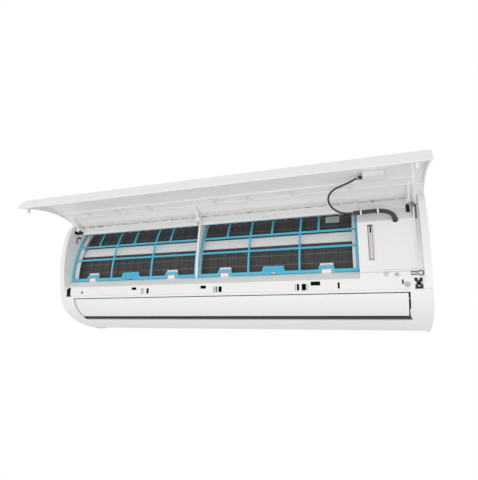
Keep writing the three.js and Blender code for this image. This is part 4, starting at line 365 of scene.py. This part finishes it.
def ringed(name, x, height, inner, tones):
    """A face with a dot and rings: each tone starts at its distance in centimetres from the middle."""
    material, tree, shader = new_material(name, {"Roughness": 0.5})
    shifted = add_node(
        tree, "ShaderNodeVectorMath", {"operation": "SUBTRACT", 1: tuple(spot(x, 0, height))},
        {0: object_position(tree)},
    )
    flattened = add_node(
        tree, "ShaderNodeVectorMath", {"operation": "MULTIPLY", 1: (1, 0, 1)}, {0: shifted.outputs[0]},
    )
    from_middle = add_node(tree, "ShaderNodeVectorMath", {"operation": "LENGTH"}, {0: flattened.outputs[0]})
    in_cm = add_node(
        tree, "ShaderNodeMath", {"operation": "MULTIPLY", 1: 100.0}, {0: from_middle.outputs["Value"]},
    )
    rings = add_node(tree, "ShaderNodeValToRGB", {}, {"Fac": in_cm.outputs[0]})
    rings.color_ramp.interpolation = "CONSTANT"
    rings.color_ramp.elements[0].color = linear(inner)
    rings.color_ramp.elements[1].position = tones[0][0]
    rings.color_ramp.elements[1].color = linear(tones[0][1])
    for place, tone in tones[1:]:
        stop = rings.color_ramp.elements.new(place)
        stop.color = linear(tone)
    tree.links.new(rings.outputs["Color"], shader.inputs["Base Color"])
    return material


BUTTON_TONES = ((0.14, "#dfe1e1"), (0.3, "#8a8c8e"), (0.42, "#dfe1e1"))
SCREW_TONES = ((0.15, "#d8d8d8"), (0.3, "#b4b4b4"))
paint(NODES["emergency_button"], ringed("button_face", 379.4, 90.8, "#5c5e60", BUTTON_TONES))
paint(NODES["casing_screw"], ringed("screw_face", 362.6, 110, "#4c4c4c", SCREW_TONES))
print("rings on the button and the screw:", len(BUTTON_TONES), len(SCREW_TONES))

# %% [markdown]
# ## Painted details
# Dark recesses and small pads are a few millimetres wide, less than the solids carry. Cutting them into
# a moulding of several thousand faces would be slow and change its shape, so they are painted by place
# instead; the dark of the recesses, slots and gaps is painted shade. Each mark is a box given by two
# corners (x, depth, height) in millimetres, and a surface takes its colour where it passes through the
# box. The colour depends only on the place on the object.

# %% Masks by place


def box_mask(tree, low, high):
    """1 inside the box between two corners, else 0."""
    a, b = spot(*low), spot(*high)
    half = [abs(v) / 2 for v in b - a]
    shifted = add_node(
        tree, "ShaderNodeVectorMath", {"operation": "SUBTRACT", 1: tuple((a + b) / 2)},
        {0: object_position(tree)},
    )
    scaled = add_node(
        tree, "ShaderNodeVectorMath", {"operation": "DIVIDE", 1: tuple(half)}, {0: shifted.outputs[0]},
    )
    away = add_node(tree, "ShaderNodeVectorMath", {"operation": "ABSOLUTE"}, {0: scaled.outputs[0]})
    axes = add_node(tree, "ShaderNodeSeparateXYZ", {}, {"Vector": away.outputs[0]})
    flat = add_node(
        tree, "ShaderNodeMath", {"operation": "MAXIMUM"}, {0: axes.outputs["X"], 1: axes.outputs["Y"]},
    )
    most = add_node(
        tree, "ShaderNodeMath", {"operation": "MAXIMUM"}, {0: flat.outputs[0], 1: axes.outputs["Z"]},
    )
    inside = add_node(tree, "ShaderNodeMath", {"operation": "LESS_THAN", 1: 1.0}, {0: most.outputs[0]})
    return inside.outputs[0]


def marked(name, base, marks):
    """A copy of a material with painted marks."""
    material = base.copy()
    material.name = name
    tree = material.node_tree
    target = tree.nodes["Principled BSDF"].inputs["Base Color"]
    for colour, low, high in marks:
        mix = add_node(tree, "ShaderNodeMix", {"data_type": "RGBA"}, {0: box_mask(tree, low, high)})
        if target.links:
            tree.links.new(target.links[0].from_socket, mix.inputs[MIX_A])
        else:
            mix.inputs[MIX_A].default_value = tuple(target.default_value)
        mix.inputs[MIX_B].default_value = linear(colour)
        tree.links.new(mix.outputs[MIX_RESULT], target)
    return material


print("one mask is a box between two corners")

# %% Marks on the casing
CASING_MARKS = [
    # shadow line along the outlet's rear edge
    ("#c2c2c2", (-380, 131, 20), (384, 135, 36)),
    ("#151515", (-383.5, 134.6, 20), (386, 141, 36)),
    # painted shade in the recess round the stay's pivot, then in the pin's hole beside it
    ("#7d7d7d", (399.2, 155, 216), (406.5, 178, 250)),
    ("#141414", (388.5, 150, 231), (395.5, 176, 248)),
    # painted shade in the left hinge's cut-out and slot, on the left border
    ("#161616", (-411, 154, 244), (-394, 168, 252)),
    ("#1c1c1c", (-411, 143, 234), (-409.5, 153, 239)),
    ("#9e9e9e", (-411, 153, 219), (-409.5, 160, 237)),
    # painted shade in the track of the slot in the service area, darker along its edges
    ("#d6d6d6", (315, 175, 139.5), (326, 178.5, 209)),
    ("#8a8a8a", (315, 175, 142), (316.6, 179.5, 209)),
    ("#b0b0b0", (318.2, 175, 150), (319, 178.5, 193)),
    ("#9a9a9a", (323.4, 175, 142), (324.6, 179.5, 209)),
    ("#9a9a9a", (315, 175, 139.5), (325, 179.5, 142.6)),
    ("#707070", (315, 175, 205), (325, 179.5, 209)),
    # small pad beside the recess screw
    ("#cfcfcf", (339.5, 182, 107), (348.5, 186, 117)),
    ("#909090", (340, 182, 114.5), (342, 186, 117)),
    ("#909090", (346, 182, 113.5), (348, 186, 117)),
    # the latch sockets' outlines, right then left
    ("#151515", (391.7, 180, 96.2), (396.7, 190, 102.7)),
    ("#151515", (401, 180, 96.2), (405.8, 190, 102.7)),
    ("#151515", (392.3, 180, 82.6), (406, 190, 90.4)),
    ("#151515", (-406, 180, 81.5), (-393, 190, 87)),
    ("#151515", (-402, 180, 100), (-394, 190, 103.5)),
    # small pads on the strip, at the right
    ("#c4c4c4", (169, 180, 84), (172, 190, 97)),
    ("#c4c4c4", (194, 180, 84), (197, 190, 97)),
]
paint(NODES["front_casing"], marked("marked_abs_casing", FINISHES[slot_of["front_casing"]], CASING_MARKS))
print("marks on the casing:", len(CASING_MARKS))

# %% Marks on the socket and the filters
SOCKET_MARKS = [
    ("#e6e6e6", (396.9, 170, 96.4), (400.8, 190, 102)),
    ("#e6e6e6", (394, 170, 90.6), (395.4, 190, 96)),
    ("#e6e6e6", (402.8, 170, 90.6), (406, 190, 96)),
    ("#e6e6e6", (396.9, 170, 86), (400.8, 190, 88.6)),
]
paint(NODES["latch_socket_right"], marked("marked_abs_socket", black_abs, SOCKET_MARKS))
# Painted light: the coil bar gets a brighter white than the other inner plastic, lifting it out of the
# shade it sits in.
paint(NODES["coil_bar"], plastic("painted_light_white_bar", "#fbfbfb", 0.45))
FILTER_MARKS = [
    # the grips' sunk fields in painted shade, then the cut-out in the right grip with the casing's tab in
    # it
    ("#43b1d2", (-258, 155, 122), (-212, 172, 135.5)),
    ("#43b1d2", (98, 155, 124), (144, 172, 135.5)),
    ("#e8e8e8", (116.5, 155, 112), (125, 172, 124)),
]
marked_polypropylene = marked("marked_polypropylene", blue_polypropylene, FILTER_MARKS)
for side in ("left", "right"):
    paint(NODES[f"filter_frame_{side}"], marked_polypropylene)
print("marks on the socket and the filters:", len(SOCKET_MARKS), len(FILTER_MARKS))

# %% [markdown]
# ## Rounded edges
# A moulded edge is never sharp, and its highlight is what makes plastic look real. A small live bevel on
# the nodes that show gives that without touching their meshes. Only edges sharper than 40 degrees are
# rounded.

# %% Round the edges
BEVELS_MM = {
    "front_casing": 0.5, "front_panel": 0.6, "louver": 0.5, "filter_frame_left": 0.4,
    "filter_frame_right": 0.4, "service_cover": 0.6, "top_grille": 0.6, "panel_stay": 0.6,
    "drain_pan": 0.8, "display_box": 1.0, "cable_plug": 0.5, "latch_socket_left": 0.4,
    "latch_socket_right": 0.4, "emergency_button": 0.4, "stay_catch": 0.3, "electric_box": 0.6,
}


SHARP_DEGREES = 40


def round_edges(obj, width_mm):
    bevel = obj.modifiers.new("rounding", "BEVEL")
    bevel.width = width_mm / 1000
    bevel.segments = 2
    bevel.limit_method = "ANGLE"
    bevel.angle_limit = math.radians(SHARP_DEGREES)
    bevel.harden_normals = True


for name, width in BEVELS_MM.items():
    round_edges(NODES[name], width)
print("rounded", len(BEVELS_MM), "nodes")

# %% [markdown]
# ## Filter nets
# The real nets are thin sheets held in the frames. The solids carry them as coarse grids, so each is
# replaced by a finely divided sheet, bent along the filter's arc, with a UV map in millimetres for the
# weave. The frame's two arches reach into the net, so it is opened there.

# %% Selecting and grids


def select_only(obj):
    bpy.ops.object.select_all(action="DESELECT")
    obj.select_set(True)
    bpy.context.view_layer.objects.active = obj


def flat_grid(name, columns, rows):
    """A unit grid made at the origin, ready to be shaped."""
    bpy.ops.object.select_all(action="DESELECT")
    bpy.ops.mesh.primitive_grid_add(x_subdivisions=columns, y_subdivisions=rows, size=1)
    grid = bpy.context.object
    grid.name = name
    return grid


print("grid helper ready")

# %% One net on its arc
NET_SINK_MM = 1.5    # the net lies this far inside the filter's arc
NET_LOW_MM = 0.5     # it starts this far above the arc's lower end
NET_TOP_DEG = 34.7   # and ends this far round the arc
NET_CELLS = (172, 72)
EDGE_MM = 1          # from the frame's side to the net's side


def net_on_arc(side):
    """The net as a bent sheet; also returns each corner's x, way along the arc, depth and height."""
    left = FILTER_LEFTS[side]
    radius = FILTER_RADIUS - NET_SINK_MM
    lowest = math.asin(NET_LOW_MM / FILTER_RADIUS)
    highest = math.radians(NET_TOP_DEG)
    net = flat_grid(f"net_{side}", *NET_CELLS)
    mesh = net.data
    layer = mesh.uv_layers.new(name="millimetres")
    flat = [(v.co.x + 0.5, v.co.y + 0.5) for v in mesh.vertices]
    places = []
    for u, v in flat:
        angle = lowest + (highest - lowest) * v
        places.append((
            left + EDGE_MM + (FILTER_WIDTH - 2 * EDGE_MM) * u,
            radius * angle,
            FILTER_CENTRE[0] + radius * math.cos(angle),
            FILTER_CENTRE[1] + radius * math.sin(angle),
        ))
    for vertex, (x, _, depth, height) in zip(mesh.vertices, places):
        vertex.co = spot(x, depth, height)
    for loop in mesh.loops:
        x, along, _, _ = places[loop.vertex_index]
        layer.data[loop.index].uv = (x, along)
    return net, places


print("cells of a net:", NET_CELLS)

# %% The arches
ARCH_STEP_MM = 111           # each arch's middle, from the filter's middle
ARCH_HALVES_MM = (16, 11)    # half its width at the bottom and the top
ARCH_HEIGHTS_MM = (117.3, 130)


def inside_trapezoid(x, height, centre, half_bottom, half_top, low, high):
    if not low <= height <= high:
        return False
    share = (height - low) / (high - low)
    return abs(x - centre) < half_bottom + (half_top - half_bottom) * share


def open_arches(net, places, side):
    """Takes the net out of the two arches at the filter's lower edge."""
    centre = FILTER_LEFTS[side] + FILTER_WIDTH / 2
    holes = [
        (centre + step, *ARCH_HALVES_MM, *ARCH_HEIGHTS_MM) for step in (-ARCH_STEP_MM, ARCH_STEP_MM)
    ]
    select_only(net)
    bpy.ops.object.mode_set(mode="EDIT")
    bpy.ops.mesh.select_all(action="DESELECT")
    bpy.ops.object.mode_set(mode="OBJECT")
    taken = 0
    for polygon in net.data.polygons:
        x = sum(places[i][0] for i in polygon.vertices) / len(polygon.vertices)
        height = sum(places[i][3] for i in polygon.vertices) / len(polygon.vertices)
        if any(inside_trapezoid(x, height, *hole) for hole in holes):
            polygon.select = True
            taken += 1
    bpy.ops.object.mode_set(mode="EDIT")
    bpy.ops.mesh.select_mode(type="FACE")
    bpy.ops.mesh.delete(type="FACE")
    bpy.ops.object.mode_set(mode="OBJECT")
    return taken


print("an arch is", [2 * half for half in ARCH_HALVES_MM], "mm wide at its bottom and top")

# %% Both nets
for side in FILTER_LEFTS:
    net, places = net_on_arc(side)
    taken = open_arches(net, places, side)
    paint(net, woven_net)
    select_only(net)
    bpy.ops.object.shade_smooth()
    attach(net, f"filter_{side}")
    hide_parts(f"filter_net_{side}")
    print(net.name, "faces:", len(net.data.polygons), "faces opened:", taken)

# %% [markdown]
# ## Display cable
# The sleeve leaves the service area and runs along the casing, and a thin cable goes on from its end in
# a free loop to the plug on the panel. Both follow smooth lines through a few chosen points, and a grid
# rolled round the line makes the tube, which gives it an even UV map. The loop runs from the casing to
# the panel, but here it is baked where it lies and rides on neither.

# %% The cable's routes
SLEEVE_ROUTE = [
    (367, 168, 211), (367, 174.5, 214.5), (366.4, 180, 219.5), (362, 181, 226.5), (353, 178.8, 232.5),
    (340, 176, 236), (322, 175, 236.5), (305, 175, 235.5), (290, 176, 235.5),
]
LOOP_ROUTE = [
    (289, 176.2, 235.5), (276, 177.5, 236), (262, 181, 239.5), (251, 190, 247), (246.5, 201, 255),
    (247, 211, 262), (253, 220, 269), (263, 226.5, 274), (276, 230.5, 277.5), (289, 233.8, 281),
    (299, 235.6, 285), (304.2, 235.7, 286.8),
]
STEPS_PER_POINT = 6


def smooth_route(points, steps=STEPS_PER_POINT):
    """Points of a Catmull-Rom line through the given ones."""
    line = [spot(*p) for p in points]
    line = [line[0] * 2 - line[1], *line, line[-1] * 2 - line[-2]]
    out = []
    for a, b, c, d in zip(line, line[1:], line[2:], line[3:]):
        for i in range(steps):
            t = i / steps
            out.append(0.5 * (
                2 * b + (c - a) * t
                + (2 * a - 5 * b + 4 * c - d) * t * t
                + (3 * b - a - 3 * c + d) * t ** 3
            ))
    out.append(line[-2])
    return out


for name, points in (("sleeve", SLEEVE_ROUTE), ("loop", LOOP_ROUTE)):
    route = smooth_route(points)
    print(name, "is", round(1000 * sum((b - a).length for a, b in zip(route, route[1:]))), "mm long")

# %% A tube along a route


def tube(name, route, radius_mm, sides=16):
    """A closed tube along a route: a grid rolled round it, row by row, with a UV map in millimetres."""
    pipe = flat_grid(name, sides, len(route) - 1)
    mesh = pipe.data
    layer = mesh.uv_layers.new(name="millimetres")
    ahead = (route[1] - route[0]).normalized()
    side = ahead.orthogonal().normalized()
    frames, travelled = [], 0.0
    for i, point in enumerate(route):
        new_ahead = (route[min(i + 1, len(route) - 1)] - route[max(i - 1, 0)]).normalized()
        side = (ahead.rotation_difference(new_ahead) @ side).normalized()
        ahead = new_ahead
        if i:
            travelled += (point - route[i - 1]).length
        frames.append((point, side.copy(), ahead.cross(side), travelled))
    radius = radius_mm / 1000
    uvs = []
    for vertex in mesh.vertices:
        column = round((vertex.co.x + 0.5) * sides)
        row = round((vertex.co.y + 0.5) * (len(route) - 1))
        point, across, up, way = frames[row]
        angle = 2 * math.pi * column / sides
        uvs.append((column / sides * 2 * math.pi * radius_mm, way * 1000))
        vertex.co = point + radius * (math.cos(angle) * across + math.sin(angle) * up)
    for loop in mesh.loops:
        layer.data[loop.index].uv = uvs[loop.vertex_index]
    select_only(pipe)
    bpy.ops.object.mode_set(mode="EDIT")
    bpy.ops.mesh.select_mode(type="VERT")
    bpy.ops.mesh.select_all(action="SELECT")
    bpy.ops.mesh.remove_doubles(threshold=radius * 0.02)
    bpy.ops.mesh.select_all(action="DESELECT")
    bpy.ops.mesh.select_non_manifold()
    bpy.ops.mesh.edge_face_add()
    bpy.ops.mesh.select_all(action="SELECT")
    bpy.ops.mesh.normals_make_consistent(inside=False)
    bpy.ops.object.mode_set(mode="OBJECT")
    bpy.ops.object.shade_smooth_by_angle(angle=math.radians(50))
    return pipe


print("tube helper ready")

# %% Sleeve and loop
SLEEVE_RADIUS_MM = 4.2
CABLE_RADIUS_MM = 2.0
sleeve_tube = tube("sleeve_tube", smooth_route(SLEEVE_ROUTE), SLEEVE_RADIUS_MM)
paint(sleeve_tube, braided_sleeve)
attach(sleeve_tube, "housing")
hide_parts("cable_sheath")

loop_tube = tube("loop_tube", smooth_route(LOOP_ROUTE), CABLE_RADIUS_MM)
paint(loop_tube, black_pvc)
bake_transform(loop_tube)
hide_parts("cable_loop")
print("cable pieces:", len(sleeve_tube.data.polygons), len(loop_tube.data.polygons))

# %% [markdown]
# ## Clips, tongues and baffle
# Two white clips hold the sleeve against the casing, with painted shadow at their rims. The sleeve is
# round, so each shadow is a short dark tube round it, with a shorter and wider white one over that for
# the clip. Light tongues stand in two of the strip's slots, and a baffle in the duct's painted shade
# closes the duct's right end behind the louver, where the solids leave a way to see through the unit.
# Only one face of each shows, so plain blocks are enough.

# %% Clips on the sleeve
CLIP_LINE = (175.6, 235.8)  # depth and height of the sleeve at its clips
# The first form is painted shadow: a dark ring, longer than the clip, for the shade at its rims.
CLIP_FORMS = (  # half its length, its radius, its finish and slot
    ("rim_shadow", 3.6, 4.7, black_abs, "black_plastic"),
    ("band", 1.7, 5.2, white_abs_matt, "white_inner"),
)
CLIPS = (("clip_inner", 305.0), ("clip_outer", 337.0))
for name, x in CLIPS:
    for part_name, half, radius, finish, slot in CLIP_FORMS:
        ends = [spot(x - half, *CLIP_LINE), spot(x + half, *CLIP_LINE)]
        ring = tube(f"{name}_{part_name}", ends, radius)
        paint(ring, finish)
        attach(ring, "housing")
print("clips:", len(CLIPS))

# %% Tongues and baffle


def block(name, material, low, high):
    """A square block between two corners that rides on the housing."""
    bpy.ops.object.select_all(action="DESELECT")
    bpy.ops.mesh.primitive_cube_add(size=1)
    piece = bpy.context.object
    piece.name = name
    a, b = spot(*low), spot(*high)
    for vertex in piece.data.vertices:
        vertex.co = [a[i] if vertex.co[i] < 0 else b[i] for i in range(3)]
    select_only(piece)
    bpy.ops.object.mode_set(mode="EDIT")
    bpy.ops.mesh.select_all(action="SELECT")
    bpy.ops.mesh.normals_make_consistent(inside=False)
    bpy.ops.object.mode_set(mode="OBJECT")
    paint(piece, material)
    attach(piece, "housing")


tongue_abs = plastic("tongue_abs", "#c6c6c6", 0.5)
block("tongue_left", tongue_abs, (-190.6, 179.5, 85.4), (-183.4, 183.2, 96.6))
block("tongue_middle", tongue_abs, (-9.3, 179.5, 84.9), (-3.0, 183.2, 96.1))
# Painted shade: the baffle takes the duct's near-black finish, standing in for the shade at the duct's
# right end.
block("duct_baffle", painted_duct_shade, (303, 121, 30), (384, 123, 74))
print("tongues: 2, baffles: 1")

# %% [markdown]
# ## Stage and light
# The photograph is a cut-out on white with hardly a shadow. An even, nearly white world lights the
# object softly, and a pure white stands behind it for rays from the camera and for those that pass
# through something clear. Three large, weak lamps then give the forms a slight turn: one from the upper
# left, one from the right and one from below, which reaches the panel's inside. The floor is hidden from
# the camera and only bounces light.

# %% Floor
bpy.ops.object.select_all(action="DESELECT")
bpy.ops.mesh.primitive_plane_add(size=8, location=(0, 0, -0.75))
floor = bpy.context.object
floor.name = "floor"
floor_paint, _, _ = new_material("floor_paint", {"Base Color": linear("#f4f4f4"), "Roughness": 0.9})
paint(floor, floor_paint)
floor.visible_camera = False
print("floor at", floor.location.z, "m")

# %% World
AMBIENT_STRENGTH = 0.86  # white plastic then renders about as it is written, and doesn't clip
world = bpy.data.worlds.new("studio")
bpy.context.scene.world = world
world.use_nodes = True
tree = world.node_tree
tree.nodes.clear()
rays = add_node(tree, "ShaderNodeLightPath")
seen_behind = add_node(
    tree, "ShaderNodeMath", {"operation": "MAXIMUM"},
    {0: rays.outputs["Is Camera Ray"], 1: rays.outputs["Is Transmission Ray"]},
)
ambient = add_node(tree, "ShaderNodeBackground", {"Color": linear("#f8f6f4"), "Strength": AMBIENT_STRENGTH})
backdrop = add_node(tree, "ShaderNodeBackground", {"Color": linear("#ffffff"), "Strength": 1.0})
mixed = add_node(
    tree, "ShaderNodeMixShader", {},
    {0: seen_behind.outputs[0], 1: ambient.outputs[0], 2: backdrop.outputs[0]},
)
add_node(tree, "ShaderNodeOutputWorld", {}, {"Surface": mixed.outputs[0]})
print("ambient strength:", AMBIENT_STRENGTH)

# %% Lamps


def area_light(name, place, target, size, watts):
    bpy.ops.object.select_all(action="DESELECT")
    bpy.ops.object.light_add(type="AREA", location=place)
    light = bpy.context.object
    light.name = name
    light.data.size = size
    light.data.energy = watts
    light.rotation_euler = (Vector(target) - Vector(place)).to_track_quat("-Z", "Y").to_euler()


LAMPS = (  # name, place, target, size, watts
    ("key", (-0.9, -1.9, 0.9), (0, -0.1, 0), 1.2, 2.5),
    ("fill", (1.4, -1.7, -0.3), (0, -0.1, 0), 1.4, 1.5),
    ("under", (0.1, -1.3, -0.7), (0, -0.15, 0.05), 1.4, 7.5),
)
for lamp in LAMPS:
    area_light(*lamp)
print("lights:", len(LAMPS))

# %% [markdown]
# ## Camera
# The camera was fitted to the photograph's straight edges: it stands low and to the right, looks up and
# to the left, and is rolled by a tenth of a degree. Its axes are built from its yaw, pitch and roll, in
# radians.

# %% Camera
CAMERA_PLACE = (0.33804, -0.98273, -0.1095)
LENS_MM = 30.0
SENSOR_MM = 36.0
YAW = 0.34554
PITCH = 0.186569
ROLL = -0.00194
bpy.ops.object.select_all(action="DESELECT")
bpy.ops.object.camera_add(location=CAMERA_PLACE)
camera = bpy.context.object
forward = Vector((-math.sin(YAW) * math.cos(PITCH), math.cos(YAW) * math.cos(PITCH), math.sin(PITCH)))
right = Vector((math.cos(YAW), math.sin(YAW), 0))
up = right.cross(forward)
turned_right = math.cos(ROLL) * right + math.sin(ROLL) * up
turned_up = math.cos(ROLL) * up - math.sin(ROLL) * right
axes = Matrix((turned_right, turned_up, -forward)).transposed()
camera.rotation_euler = axes.to_euler()
camera.data.lens = LENS_MM
camera.data.sensor_width = SENSOR_MM
camera.data.clip_start = 0.01
scene = bpy.context.scene
scene.camera = camera
scene.view_settings.view_transform = "Standard"
print("camera at", [round(v, 3) for v in camera.location])
